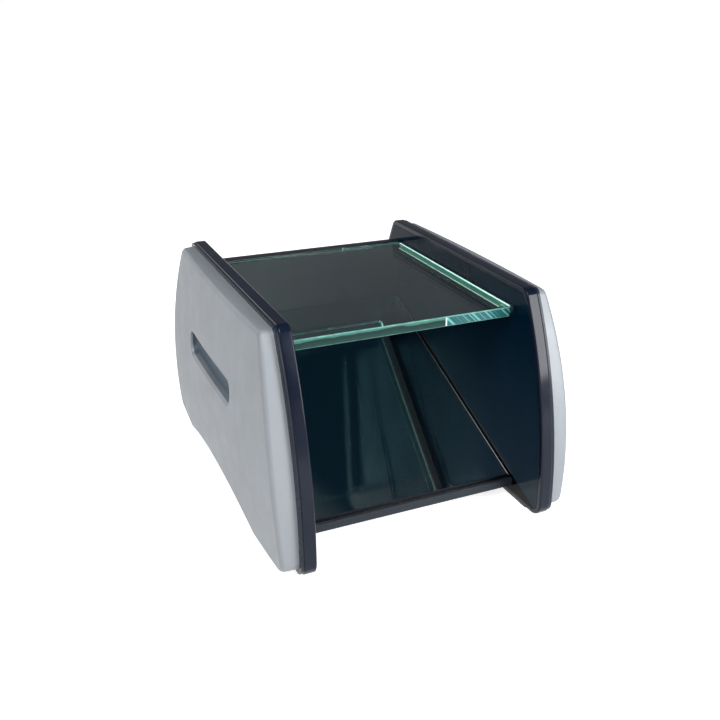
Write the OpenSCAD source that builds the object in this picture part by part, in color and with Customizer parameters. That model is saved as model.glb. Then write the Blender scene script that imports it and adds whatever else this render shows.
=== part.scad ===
// Podoscope: a lit glass plate to stand on, over a tilted mirror that shows the soles.
// X runs across, the viewer stands at -Y, Z is up. The origin is on the floor, at the centre.

/* [Side panels] */
// Clear width between the inner faces of the side panels
inner_w = 350; // [330:1:380]
// Depth of a side panel where it is deepest
panel_depth = 588; // [570:1:620]
// Height of a side panel without its feet
panel_h = 333; // [320:1:350]
// Thickness of a side panel
panel_t = 18; // [16:0.5:20]
// Radius of the eased edges of a side panel
panel_round = 2.5; // [1:0.25:4]
// Radius of the bowed front and back edges
bow_r = 666; // [600:1:800]
// Height above the panel's base where the bow is fullest
bow_h = 16; // [10:1:40]
// Radius of the top corners
top_corner = 16; // [10:1:20]
// Radius of the bottom corners
foot_corner = 21; // [14:1:24]
// Width of the arch between the two feet of a panel
arch_w = 330; // [300:1:350]
// Height of that arch
arch_rise = 27; // [20:1:34]

/* [Liners] */
// Thickness of the glossy liner let into the inner face
liner_t = 3; // [2:0.5:4]
// Border of bare panel round the liner
liner_border = 8; // [6:0.5:12]
// Gap between the liner and the edge of its recess
liner_gap = 0.4; // [0.2:0.1:0.8]

/* [Covers] */
// Thickness of the spacer between panel and cover
spacer_t = 4; // [3:0.5:6]
// How far the spacer stays inside the panel's edge
spacer_border = 1.5; // [0.5:0.5:4]
// Height of the spacer's lower edge above the panel's base
spacer_foot = 1.5; // [0.5:0.5:4]
// How far the cover stays inside the panel's front and back edges
cover_border = 9; // [7:0.5:12]
// How far the cover stays below the panel's top
cover_top = 6; // [5:0.5:9]
// Height of the cover's lower edge above the panel's base
cover_foot = 5.5; // [4:0.5:10]
// Depth of the cover at the crest of its pillowed face
cover_crest = 40; // [38:0.5:44]
// Height of that crest above the panel's base
crest_h = 127; // [110:1:150]
// Radius of the pillow from top to bottom
pillow_rz = 1230; // [1150:10:1600]
// Radius of the pillow from front to back
pillow_ry = 3900; // [2900:10:5000]
// Wall of the cover
cover_wall = 3.5; // [2.5:0.25:4]
// Radius of the cover's moulded edge
cover_round = 7; // [6:0.5:10]
// Draft of the cover's side wall over its height
cover_draft = 1; // [0.5:0.25:2]

/* [Handle recess] */
// Length of the handle recess
grip_w = 222; // [190:1:230]
// Height of its mouth
grip_h = 35; // [33:1:40]
// Height of its centre above the panel's base
grip_z = 201; // [190:1:210]
// Depth of the recess below the face
grip_depth = 27; // [22:0.5:28]
// Corner radius of the mouth
grip_r = 14; // [10:0.5:14.5]
// Slope of the lower lip
grip_lip = 32; // [20:1:40]
// Depth at which that lip starts
grip_lip_d = 10; // [6:0.5:12]
// How far the lip stays inside the ends of the recess
lip_inset = 3; // [2:0.5:3.5]

/* [Glass plate] */
// Thickness of the glass
glass_t = 15; // [12:0.5:19]
// Depth of the glass from front to back
glass_depth = 375; // [360:1:380]
// Gap between the glass and each side panel
glass_gap = 2; // [1:0.25:3]
// How far the top of the glass lies below the top of the panels
glass_drop = 34; // [30:0.5:44]
// Ground bevel along the edges of the glass
glass_arris = 1.2; // [0.5:0.1:2]
// Cut across the upright corners of the glass
glass_corner = 5; // [3:0.5:8]

/* [Glass ledges] */
// Width of a ledge under the glass
ledge_w = 12; // [10:0.5:15]
// Height of a ledge
ledge_h = 8; // [7:0.5:12]
// How far a ledge stays behind the edge of the glass
ledge_set = 22; // [10:1:40]
// Thickness of the rubber pad on a ledge
pad_t = 1.5; // [1:0.25:3]
// Side margin between a pad and the faces of its ledge
pad_margin = 1.5; // [0.5:0.25:3]

/* [Edge lighting] */
// Height of the light groove beside the glass
groove_h = 10; // [9:0.5:11]
// Depth of the groove behind the diffuser's face
groove_d = 11; // [9:0.5:12]
// How far the groove stays short of the glass at each end
groove_set = 14; // [8:1:30]
// Thickness of the diffuser
diffuser_t = 2.5; // [2:0.25:3]
// Clearance above and below the diffuser
diffuser_gap = 0.15; // [0.05:0.05:0.3]
// Thickness of the light strip's board
strip_t = 1.5; // [1:0.25:2]
// Height of the light strip's board
strip_h = 8; // [6:0.5:8.5]
// Distance between two lamps on the strip
led_pitch = 14; // [10:1:25]
// Length and height of one lamp
led_size = 3.5; // [2.5:0.5:5]
// How far one lamp stands out of its board
led_t = 1.2; // [0.8:0.1:2]

/* [Mirror] */
// Tilt of the mirror
mirror_tilt = 21; // [19:0.5:23]
// Height of the mirror's lower edge above the panel's base
mirror_h = 33.5; // [32:0.5:36]
// Thickness of the mirror
mirror_t = 5; // [4:0.5:6]
// Gap between the mirror and each side panel
mirror_gap = 2.25; // [1:0.25:4]
// Thickness of the board behind the mirror
board_t = 8; // [6:0.5:9]
// Gap between the board and each side panel
board_gap = 0.5; // [0.25:0.25:2]
// Clearance of mirror and board at their ends
end_gap = 0.3; // [0.2:0.1:1]
// Thickness of the glue film between mirror and board, and of the gap to what carries the board
film_t = 0.05; // [0.03:0.01:0.1]
// Side of the square battens that carry the board
cleat_s = 16; // [14:0.5:20]
// How far a batten stays short of the board at each end
cleat_set = 26; // [24:1:60]

/* [Front rail] */
// How far the rail lies behind the front of the panels
rail_set = 75; // [70:0.5:85]
// Height of the rail's underside above the panel's base
rail_z = 15.5; // [14:0.5:16.5]
// Height of the rail's front face
rail_h = 13.5; // [13:0.5:16]
// Depth of the rail from front to back
rail_d = 26; // [24:0.5:28]
// Thickness of the lip in front of the mirror
rail_lip = 5.5; // [4:0.5:8]

/* [Back panel] */
// Thickness of the back panel
back_t = 16; // [12:0.5:18]
// Gap between the glass and the back panel
back_gap = 1.5; // [1:0.25:4]
// How far the back panel rises above the top of the glass
back_rise = 1; // [0:0.25:3]

/* [Connector plate] */
// Width of the connector plate
plate_w = 96; // [92:1:120]
// Height of the connector plate
plate_h = 52; // [48:1:60]
// Thickness of the connector plate
plate_t = 2; // [1.5:0.25:3]
// Distance of the connector plate's middle from the right wall
plate_in = 85; // [70:1:100]
// Height of the plate's centre above the panel's base
plate_z = 60; // [55:1:80]
// Overlap of the plate round the cut-out behind it
plate_lap = 8; // [7:0.5:9]
// Distance from the plate's centre to the inlet and to the switch
device_x = 21; // [19:0.5:23]

/* [Power inlet] */
// Width of the inlet's body
inlet_w = 28; // [26:0.5:30]
// Height of the inlet's body
inlet_h = 20; // [19:0.5:24]
// Depth of the inlet's body behind its flange
inlet_d = 20; // [18:0.5:24]
// Lap of the flange round the body
inlet_lap = 2.5; // [2:0.25:3.5]
// Thickness of the flange
flange_t = 2.5; // [2:0.25:4]
// Wall round the socket
inlet_wall = 2.2; // [1.5:0.1:3]
// Depth of the socket
socket_d = 16; // [12:0.5:17]
// Distance between neighbouring pins
pin_pitch = 7; // [6:0.5:7.5]
// Clearance of inlet and switch in the plate
snap_gap = 0.2; // [0.1:0.05:0.4]

/* [Rocker switch] */
// Width of the switch housing
switch_w = 14; // [13:0.5:18]
// Height of the switch housing
switch_h = 21; // [20:0.5:26]
// Depth of the switch housing behind its flange
switch_d = 16; // [14:0.5:20]
// Wall of the switch housing
switch_wall = 1.5; // [1.2:0.1:2]
// Gap between the rocker and its housing
rocker_gap = 0.6; // [0.4:0.1:1]
// Tilt of the rocker to each side of the middle
rocker_tilt = 8; // [5:0.5:10]
// How far the rocker's ridge stands out of the flange
rocker_out = 2.5; // [2:0.25:4]
// Radius of the rocker's pin
rocker_pin_r = 1.2; // [1:0.1:1.4]
// Running gap round that pin
pin_gap = 0.05; // [0.03:0.01:0.08]

/* [Light driver] */
// Width of the driver's case
driver_w = 110; // [90:1:130]
// Height of the driver's case
driver_h = 38; // [30:1:45]
// Depth of the driver's case
driver_d = 24; // [20:1:30]
// Width of each fixing ear
driver_ear = 12; // [11:0.5:16]
// Distance of the driver's middle from the left wall
driver_in = 105; // [95:1:120]

/* [Feet and screws] */
// Height of the rubber feet
foot_t = 4; // [2:0.5:6]
// Width of a rubber foot
foot_w = 13; // [10:0.5:15]
// Length of a rubber foot
foot_l = 66; // [50:1:72]
// Shank diameter of the frame screws
frame_screw_d = 4.5; // [4:0.25:5]
// Grip of a frame screw in the piece that it holds
frame_bite = 22; // [16:1:30]
// Grip of a ledge screw in its ledge
ledge_bite = 9; // [7:0.5:9.5]
// Grip of a batten screw in its batten
cleat_bite = 12; // [9:0.5:13]
// Place of the rail screw: distance from the rail's rear face
rail_screw_in = 5; // [4.5:0.25:8]
// Place of the rail screw: height above the rail's lower face
rail_screw_up = 4.8; // [4.5:0.1:6]
// Height of the lowest screw of the back panel above the panel's base
back_screw_up = 48; // [40:1:70]
// Distance of its highest screw below the glass top
back_screw_down = 40; // [30:1:60]
// Distance of the outer ledge screws from the ledge's ends
ledge_screw_in = 25; // [15:1:40]
// Distance of the outer batten screws from the batten's ends
cleat_screw_in = 30; // [20:1:40]
// Lower screws of the cover: distance in from the panel's ends
boss_low_in = 74; // [60:1:90]
// Lower screws of the cover: height above the panel's base
boss_low_up = 50; // [45:1:65]
// Upper screws of the cover: distance in from the panel's ends
boss_high_in = 108; // [95:1:120]
// Upper screws of the cover: distance below the panel's top
boss_high_down = 50; // [42:1:60]
// Middle screw of the cover: distance below the panel's top
boss_mid_down = 21; // [20:0.5:24]
// Shank diameter of the small screws
small_screw_d = 3; // [2.5:0.25:3.5]
// Gap between a shank and its hole
screw_gap = 0.1; // [0.05:0.05:0.2]

/* [Hidden] */
$fn = 48;

// Levels and places that follow from the sizes above
base_z = foot_t;
top_z = base_z + panel_h;
half_d = panel_depth / 2;
wall_x = inner_w / 2;
out_x = wall_x + panel_t;
cover_x = out_x + spacer_t;
glass_z = top_z - glass_drop;
under_glass_z = glass_z - glass_t;
ledge_top_z = under_glass_z - pad_t;
groove_z = glass_z - glass_t / 2;
back_y = glass_depth / 2 + back_gap;
rail_y = rail_set - half_d;
mirror_y = rail_y + rail_lip + end_gap;
plate_x = wall_x - plate_in;
plate_zc = base_z + plate_z;
driver_x = driver_in - wall_x;
plate_y = back_y + back_t;
grip_zc = base_z + grip_z;
cut = 1;

// Bowed edge: one arc about a centre inside the panel
bow_y = half_d - bow_r;
bow_z = base_z + bow_h;

// Arch between the feet: one arc about a centre below the floor
arch_r = (pow(arch_w / 2, 2) + pow(arch_rise, 2)) / (2 * arch_rise);
arch_z = base_z + arch_rise - arch_r;

// Segments of each stretch of the side outline
n_arch = 8;
n_corner = 4;
n_bow = 14;

// Centre of a corner arc of radius r at height z, for an outline set in by i
function corner_y(z, i, r) = bow_y + sqrt(pow(bow_r - i - r, 2) - pow(z - bow_z, 2));
// Angle at which that corner meets the bow
function corner_a(z, i, r) = asin((z - bow_z) / (bow_r - i - r));

// One half of the side outline, from the middle of the arch round to the top.
// It is set in by i at the sides, by b at the bottom and by t at the top.
function half_outline(i, b, t, tops) =
    let (
        rt = max(top_corner - i, 4),
        rb = max(foot_corner - i, 4),
        zt = top_z - t - rt,
        zb = base_z + b + rb,
        at = corner_a(zt, i, rt),
        ab = corner_a(zb, i, rb),
        yt = corner_y(zt, i, rt),
        yb = corner_y(zb, i, rb),
        ra = arch_r + i,
        wa = sqrt(pow(ra, 2) - pow(base_z + b - arch_z, 2))
    )
    concat(
        [for (k = [0:n_arch]) let (y = wa * k / n_arch) [y, arch_z + sqrt(ra * ra - y * y)]],
        [for (k = [0:n_corner]) let (a = -90 + (ab + 90) * k / n_corner) [yb + rb * cos(a), zb + rb * sin(a)]],
        [for (k = [1:n_bow - 1]) let (a = ab + (at - ab) * k / n_bow)
            [bow_y + (bow_r - i) * cos(a), bow_z + (bow_r - i) * sin(a)]],
        [for (k = [0:n_corner]) let (a = at + (90 - at) * k / n_corner) [yt + rt * cos(a), zt + rt * sin(a)]],
        [for (k = [1:1:tops]) [yt * (1 - k / tops), top_z - t]]
    );

// The whole outline: one half and its mirror image
function side_outline(i, b, t, tops = 0) =
    let (h = half_outline(i, b, t, tops), n = len(h), last = tops > 0 ? n - 2 : n - 1)
    concat(h, [for (k = [last:-1:1]) [-h[k][0], h[k][1]]]);

// Extrudes a drawing in the YZ plane along +X, starting at x
module along_x(x, length) {
    translate([x, 0, 0]) rotate([90, 0, 90]) linear_extrude(length) children();
}

// A plate with the side outline, from x outwards
module side_plate(x, thickness, i, b) {
    along_x(x, thickness) polygon(side_outline(i, b, i));
}

// A block given by its low corner and its size, centred on Y if asked
module slab(x, y, z, size) {
    translate([x, y, z]) cube(size);
}

// A round rod along +X
module rod_x(x, y, z, d, length) {
    translate([x, y, z]) rotate([0, 90, 0]) cylinder(d = d, h = length);
}

// A round rod along +Y
module rod_y(x, y, z, d, length) {
    translate([x, y, z]) rotate([-90, 0, 0]) cylinder(d = d, h = length);
}

// The right-hand pieces are drawn, and the left-hand ones are their mirror image
module left() {
    mirror([1, 0, 0]) children();
}

// Countersunk screw along -X: the head's face is at x = 0, with the shank towards -X
module countersunk(d, length) {
    rotate([0, -90, 0]) {
        cylinder(d1 = 2 * d, d2 = d, h = d / 2);
        cylinder(d = d, h = length);
    }
}

// The hole that such a screw needs
module countersunk_hole(d, length) {
    rotate([0, -90, 0]) {
        cylinder(d1 = 2 * d + 2 * screw_gap, d2 = d + 2 * screw_gap, h = d / 2 + screw_gap);
        translate([0, 0, -cut]) cylinder(d = 2 * d + 2 * screw_gap, h = cut);
        cylinder(d = d + 2 * screw_gap, h = length + screw_gap);
    }
}

// Point in the YZ plane at s along the mirror's slope and t above its face
function on_mirror(s, t) = [
    mirror_y + s * cos(mirror_tilt) - t * sin(mirror_tilt),
    base_z + mirror_h + s * sin(mirror_tilt) + t * cos(mirror_tilt)
];
// Length along the slope at which a layer that reaches down to t meets the back panel
function slope_length(t) = (back_y - end_gap - mirror_y + t * sin(mirror_tilt)) / cos(mirror_tilt);
board_low = mirror_t + board_t;
board_l = slope_length(-board_low);
mirror_l = slope_length(-mirror_t);

// Places of the screws, as points of the side view
rail_screw = [rail_y + rail_d - rail_screw_in, base_z + rail_z + rail_screw_up];
back_screw_run = glass_z - back_screw_down - base_z - back_screw_up;
back_screws = [for (k = [0:2]) [back_y + back_t / 2, base_z + back_screw_up + k * back_screw_run / 2]];
frame_points = concat([rail_screw], back_screws);
ledge_l = glass_depth - 2 * ledge_set;
ledge_points = [for (k = [-1.5:1:1.5]) [k * (ledge_l - 2 * ledge_screw_in) / 3, ledge_top_z - ledge_h / 2]];
batten_in = cleat_set + cleat_screw_in;
batten_points = [for (k = [0:2])
    on_mirror(batten_in + k * (board_l - 2 * batten_in) / 2, -board_low - cleat_s / 2)];
boss_points = [
    [boss_low_in - half_d, base_z + boss_low_up], [half_d - boss_low_in, base_z + boss_low_up],
    [boss_high_in - half_d, top_z - boss_high_down], [half_d - boss_high_in, top_z - boss_high_down],
    [0, top_z - boss_mid_down]
];
boss_d = 11;
boss_pilot = 14;
pilot_spare = 2;
groove_l = glass_depth - 2 * groove_set;

// Board of a side panel, lofted from ring to ring, with its edges eased in 45 degree steps
module panel_board() {
    stations = concat(
        [for (a = [0:45:90]) [wall_x + panel_round * (1 - cos(a)), panel_round * (1 - sin(a))]],
        [for (a = [90:-45:0]) [out_x - panel_round * (1 - cos(a)), panel_round * (1 - sin(a))]]
    );
    rows = [for (s = stations) side_outline(s[1], s[1], s[1])];
    n = len(rows[0]);
    m = len(rows);
    points = [for (k = [0:m - 1]) for (p = rows[k]) [stations[k][0], p[0], p[1]]];
    sides = [for (k = [0:m - 2]) for (j = [0:n - 1])
        let (a = k * n + j, b = k * n + (j + 1) % n) each [[a, a + n, b], [b, a + n, b + n]]];
    polyhedron(points, concat([[for (j = [0:n - 1]) j]], sides, [[for (j = [n - 1:-1:0]) (m - 1) * n + j]]));
}

// Side panel with its liner recess, light groove and screw holes
module side_panel() {
    color("#23262e") difference() {
        panel_board();
        side_plate(wall_x - cut, liner_t + cut, liner_border, liner_border);
        slab(wall_x, -groove_l / 2, groove_z - groove_h / 2, [groove_d, groove_l, groove_h]);
        for (p = frame_points) translate([out_x, p[0], p[1]]) countersunk_hole(frame_screw_d, panel_t + cut);
        for (p = ledge_points) translate([out_x, p[0], p[1]]) countersunk_hole(frame_screw_d, panel_t + cut);
        for (p = batten_points) translate([out_x, p[0], p[1]]) countersunk_hole(frame_screw_d, panel_t + cut);
        for (p = boss_points) translate([wall_x + liner_t, p[0], p[1]]) mirror([1, 0, 0])
            countersunk_hole(small_screw_d, panel_t + cut);
    }
}

// Glossy liner, flush with the panel's inner face
module liner() {
    color("#0b1d22") difference() {
        side_plate(wall_x, liner_t, liner_border + liner_gap, liner_border + liner_gap);
        slab(wall_x - cut, -groove_l / 2, groove_z - groove_h / 2, [liner_t + 2 * cut, groove_l, groove_h]);
        for (p = concat(frame_points, ledge_points, batten_points))
            rod_x(wall_x - cut, p[0], p[1], frame_screw_d + 2 * screw_gap, liner_t + 2 * cut);
    }
}

// Thin spacer between panel and cover
module spacer() {
    color("#15171b") difference() {
        side_plate(out_x, spacer_t, spacer_border, spacer_foot);
        for (p = boss_points)
            rod_x(out_x - cut, p[0], p[1], small_screw_d + 2 * screw_gap, spacer_t + 2 * cut);
    }
}

// Pillowed face of the cover: distance from the middle plane at a point of the side view
function face_x(y, z) = cover_x + cover_crest
    - pow(z - base_z - crest_h, 2) / (2 * pillow_rz) - pow(y, 2) / (2 * pillow_ry);

// Rings of the cover's skin, set in by w: foot, edge rounding in 30 degree steps, then the face
n_top = 4;
function rings(w, foot_x) =
    let (
        i0 = cover_border + w,
        b0 = cover_foot + w,
        t0 = cover_top + w,
        r = max(cover_round - w, 2),
        rim = [for (a = [0:30:90]) let (g = cover_draft + r * (1 - cos(a)))
            side_outline(i0 + g, b0 + g, t0 + g, n_top)],
        core = rim[3],
        mid = [0, base_z + crest_h]
    )
    concat(
        [[for (p = side_outline(i0, b0, t0, n_top)) [foot_x, p[0], p[1]]]],
        [for (k = [0:3]) [for (p = rim[k]) [face_x(p[0], p[1]) - w - r * (1 - sin(30 * k)), p[0], p[1]]]],
        [for (s = [0.7, 0.38]) [for (p = core)
            let (y = mid[0] + s * (p[0] - mid[0]), z = mid[1] + s * (p[1] - mid[1]))
            [face_x(y, z) - w, y, z]]],
        [[for (p = core) [face_x(mid[0], mid[1]) - w, mid[0], mid[1]]]]
    );

// Closed body inside one skin, lofted from ring to ring, with one point at its crest
module cover_body(w, foot_x) {
    rs = rings(w, foot_x);
    n = len(rs[0]);
    m = len(rs) - 1;
    points = concat([for (k = [0:m - 1]) for (p = rs[k]) p], [rs[m][0]]);
    sides = [for (k = [0:m - 2]) for (j = [0:n - 1])
        let (a = k * n + j, b = k * n + (j + 1) % n) each [[a, a + n, b], [b, a + n, b + n]]];
    crest = [for (j = [0:n - 1]) [(m - 1) * n + j, m * n, (m - 1) * n + (j + 1) % n]];
    polyhedron(points, concat([[for (j = [0:n - 1]) j]], sides, crest));
}

// Mouth of the handle recess in the side view, grown by g, with corners of radius r
module grip_mouth(g, r) {
    w = grip_w + 2 * g;
    h = grip_h + 2 * g;
    square([w - 2 * r, h], center = true);
    square([w, h - 2 * r], center = true);
    for (sy = [-1, 1], sz = [-1, 1]) translate([sy * (w / 2 - r), sz * (h / 2 - r)]) circle(r);
}

// The recess, grown by g: a straight pocket, and a smaller mouth tipped down to slope the lower lip
grip_face_x = face_x(0, grip_zc);
module grip_pocket(g) {
    translate([0, 0, grip_zc]) along_x(grip_face_x - grip_depth - g, grip_depth + g + cover_round)
        grip_mouth(g, grip_r + g);
    translate([grip_face_x - grip_lip_d, 0, grip_zc - grip_h / 2]) rotate([0, grip_lip, 0])
        translate([0, 0, grip_h / 2 - lip_inset])
            along_x(-grip_lip_d / 2 - g, 1.5 * grip_lip_d + g + cover_round)
                grip_mouth(g - lip_inset, grip_r + g);
}

// Moulded cover: pillowed shell with its handle recess and screw bosses
module cover() {
    color("#a9adb3") difference() {
        union() {
            difference() {
                cover_body(0, cover_x);
                cover_body(cover_wall, cover_x - cut);
            }
            intersection() {
                cover_body(0, cover_x);
                union() {
                    grip_pocket(cover_wall);
                    for (p = boss_points) rod_x(cover_x, p[0], p[1], boss_d, cover_crest);
                }
            }
        }
        grip_pocket(0);
        for (p = boss_points) rod_x(cover_x - cut, p[0], p[1], small_screw_d + 2 * screw_gap, boss_pilot + cut);
    }
}

// Screws from the liner recess through panel and spacer into the cover's bosses
module cover_screws_right() {
    for (p = boss_points) translate([wall_x + liner_t, p[0], p[1]]) mirror([1, 0, 0])
        countersunk(small_screw_d, panel_t - liner_t + spacer_t + boss_pilot - pilot_spare);
}

module cover_screws() {
    color("#8d9096") {
        cover_screws_right();
        left() cover_screws_right();
    }
}

// Section of a plate w wide and t thick with its four edges bevelled by a
function bevelled(w, t, a) = [
    [-w / 2 + a, 0], [w / 2 - a, 0], [w / 2, a], [w / 2, t - a],
    [w / 2 - a, t], [-w / 2 + a, t], [-w / 2, t - a], [-w / 2, a]
];

// Thick glass plate with ground edges and cut corners
module glass_plate() {
    w = wall_x - glass_gap;
    d = glass_depth / 2;
    c = glass_corner;
    color("#7fd6c2", 0.45) intersection() {
        translate([0, 0, under_glass_z]) linear_extrude(glass_t) polygon([
            [-w + c, -d], [w - c, -d], [w, -d + c], [w, d - c],
            [w - c, d], [-w + c, d], [-w, d - c], [-w, -d + c]
        ]);
        translate([0, 0, under_glass_z]) along_x(-w, 2 * w) polygon(bevelled(2 * d, glass_t, glass_arris));
        translate([0, d, under_glass_z]) rotate([90, 0, 0])
            linear_extrude(2 * d) polygon(bevelled(2 * w, glass_t, glass_arris));
    }
}

// Bar under the side edge of the glass
module glass_ledge() {
    color("#b4b9bb") difference() {
        slab(wall_x - ledge_w, -ledge_l / 2, ledge_top_z - ledge_h, [ledge_w, ledge_l, ledge_h]);
        for (p = ledge_points) rod_x(wall_x - ledge_bite - screw_gap, p[0], p[1],
            frame_screw_d + 2 * screw_gap, ledge_bite + screw_gap + cut);
    }
}

// Rubber strips that the glass lies on
module glass_pads() {
    pad_w = ledge_w - 2 * pad_margin;
    color("#a3b4ae") for (x = [-wall_x + pad_margin, wall_x - pad_margin - pad_w])
        slab(x, -ledge_l / 2 + pad_margin, ledge_top_z, [pad_w, ledge_l - 2 * pad_margin, pad_t]);
}

// Board with its row of lamps, at the bottom of the light groove
module light_strip() {
    strip_l = groove_l - 2 * strip_h;
    n_led = floor((strip_l - led_size) / led_pitch);
    board_x = wall_x + groove_d - strip_t;
    color("#dfe6e2") union() {
        slab(board_x, -strip_l / 2, groove_z - strip_h / 2, [strip_t, strip_l, strip_h]);
        for (k = [0:n_led]) slab(
            board_x - led_t, (k - n_led / 2) * led_pitch - led_size / 2, groove_z - led_size / 2,
            [led_t + strip_t / 2, led_size, led_size]);
    }
}

// Diffuser that closes the light groove, flush with the liner
module diffuser() {
    color("#cfe9e2", 0.8) slab(
        wall_x, -groove_l / 2 + diffuser_gap, groove_z - groove_h / 2 + diffuser_gap,
        [diffuser_t, groove_l - 2 * diffuser_gap, groove_h - 2 * diffuser_gap]);
}

// A layer of the mirror's sandwich, from t0 down to t1 below its face, s0 to s1 along the slope
module sloping_layer(x, width, s0, s1, t0, t1) {
    along_x(x, width) polygon([on_mirror(s0, -t0), on_mirror(s1, -t0), on_mirror(s1, -t1), on_mirror(s0, -t1)]);
}

module mirror_plate() {
    w = wall_x - mirror_gap;
    color("#3c4c55") sloping_layer(-w, 2 * w, 0, mirror_l, 0, mirror_t);
}

module mirror_board() {
    w = wall_x - board_gap;
    color("#191b20") sloping_layer(-w, 2 * w, 0, board_l, mirror_t + film_t, board_low);
}

// Sloping batten on a side panel, under the board
module mirror_batten() {
    color("#191b20") difference() {
        sloping_layer(wall_x - cleat_s, cleat_s, cleat_set, board_l - cleat_set,
            board_low + film_t, board_low + film_t + cleat_s);
        for (p = batten_points) rod_x(wall_x - cleat_bite - screw_gap, p[0], p[1],
            frame_screw_d + 2 * screw_gap, cleat_bite + screw_gap + cut);
    }
}

// Height of the rail's seat at y, just under the board
seat_at = on_mirror(0, -board_low - film_t);
function seat_h(y) = seat_at[1] + (y - seat_at[0]) * tan(mirror_tilt);

// Front rail: a lip before the mirror's edge and a sloping seat behind it
module front_rail() {
    z0 = base_z + rail_z;
    seat_y = rail_y + rail_lip;
    color("#2b2f35") difference() {
        along_x(-wall_x, inner_w) polygon([
            [rail_y, z0], [rail_y, z0 + rail_h], [seat_y, z0 + rail_h], [seat_y, seat_h(seat_y)],
            [rail_y + rail_d, seat_h(rail_y + rail_d)], [rail_y + rail_d, z0]
        ]);
        frame_bores([rail_screw]);
    }
}

// Bores for the frame screws in both ends of a piece that spans the panels
module frame_bores(points) {
    d = frame_screw_d + 2 * screw_gap;
    depth = frame_bite + screw_gap + cut;
    for (p = points) {
        rod_x(wall_x - frame_bite - screw_gap, p[0], p[1], d, depth);
        rod_x(-wall_x - cut, p[0], p[1], d, depth);
    }
}

// Corners of the connector plate's screw pattern, and the driver's two fixing points
plate_points = [for (sx = [-1, 1], sz = [-1, 1])
    [plate_x + sx * (plate_w - plate_lap) / 2, plate_zc + sz * (plate_h - plate_lap) / 2]];
driver_points = [for (sx = [-1, 1]) [driver_x + sx * (driver_w + driver_ear) / 2, plate_zc]];
small_bite = 9;
driver_ear_t = 3;

// Back panel with the cut-out behind the connector plate
module back_panel() {
    z0 = base_z + rail_z;
    color("#1d2026") difference() {
        slab(-wall_x, back_y, z0, [inner_w, back_t, glass_z + back_rise - z0]);
        frame_bores(back_screws);
        slab(plate_x - plate_w / 2 + plate_lap, back_y - cut, plate_zc - plate_h / 2 + plate_lap,
            [plate_w - 2 * plate_lap, back_t + 2 * cut, plate_h - 2 * plate_lap]);
        for (p = plate_points) small_bore(p, plate_y, -1);
        for (p = driver_points) small_bore(p, back_y, 1);
    }
}

// Bore for a small screw, from the face at y into the piece, in the direction s along Y
module small_bore(p, y, s) {
    rod_y(p[0], s > 0 ? y - cut : y - small_bite - screw_gap, p[1],
        small_screw_d + 2 * screw_gap, small_bite + screw_gap + cut);
}

// Pan-head screw: the head sits on the face at y, and the shank runs in the direction s along Y
module pan_screw(p, y, s, length) {
    translate([p[0], y, p[1]]) rotate([s > 0 ? -90 : 90, 0, 0]) {
        cylinder(d = small_screw_d, h = length);
        translate([0, 0, -0.6 * small_screw_d]) cylinder(d = 1.9 * small_screw_d, h = 0.6 * small_screw_d);
    }
}

// Frame screws: through the panel from outside, under the spacer, into rail and back panel
module side_screws(points, bite) {
    for (p = points) translate([out_x, p[0], p[1]]) countersunk(frame_screw_d, panel_t + bite);
}

module frame_screws() {
    color("#6f7379") {
        side_screws(frame_points, frame_bite);
        left() side_screws(frame_points, frame_bite);
    }
}

module ledge_screws() {
    color("#6f7379") {
        side_screws(ledge_points, ledge_bite);
        left() side_screws(ledge_points, ledge_bite);
    }
}

module batten_screws() {
    color("#6f7379") {
        side_screws(batten_points, cleat_bite);
        left() side_screws(batten_points, cleat_bite);
    }
}

// Rectangle with rounded corners
module round_rect(w, h, r) {
    square([w - 2 * r, h], center = true);
    square([w, h - 2 * r], center = true);
    for (sx = [-1, 1], sz = [-1, 1]) translate([sx * (w / 2 - r), sz * (h / 2 - r)]) circle(r);
}

// Extrudes a drawing in the XZ plane along +Y from y
module along_y(x, y, z, length) {
    translate([x, y, z]) rotate([-90, 0, 0]) mirror([0, 1, 0]) linear_extrude(length) children();
}

inlet_x = plate_x - device_x;
switch_x = plate_x + device_x;
device_y = plate_y + plate_t;

// Plate on the back that carries the inlet and the switch
module connector_plate() {
    g = 2 * snap_gap;
    color("#2a2c31") difference() {
        along_y(plate_x, plate_y, plate_zc, plate_t) round_rect(plate_w, plate_h, 3);
        slab(inlet_x - (inlet_w + g) / 2, plate_y - cut, plate_zc - (inlet_h + g) / 2,
            [inlet_w + g, plate_t + 2 * cut, inlet_h + g]);
        slab(switch_x - (switch_w + g) / 2, plate_y - cut, plate_zc - (switch_h + g) / 2,
            [switch_w + g, plate_t + 2 * cut, switch_h + g]);
        for (p = plate_points)
            rod_y(p[0], plate_y - cut, p[1], small_screw_d + 2 * screw_gap, plate_t + 2 * cut);
    }
}

module plate_screws() {
    color("#8d9096") for (p = plate_points) pan_screw(p, device_y, -1, plate_t + small_bite);
}

// Outline of the socket: a rectangle with its two upper corners cut
module socket_outline() {
    w = inlet_w / 2 - inlet_wall;
    h = inlet_h / 2 - inlet_wall;
    c = h / 2;
    polygon([[-w, -h], [w, -h], [w, h - c], [w - c, h], [-w + c, h], [-w, h - c]]);
}

blade_w = 2;
blade_h = 4;
blade_out = 12;
blade_tail = 7;
blades = [[-pin_pitch, -1], [0, 1.5], [pin_pitch, -1]];

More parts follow.
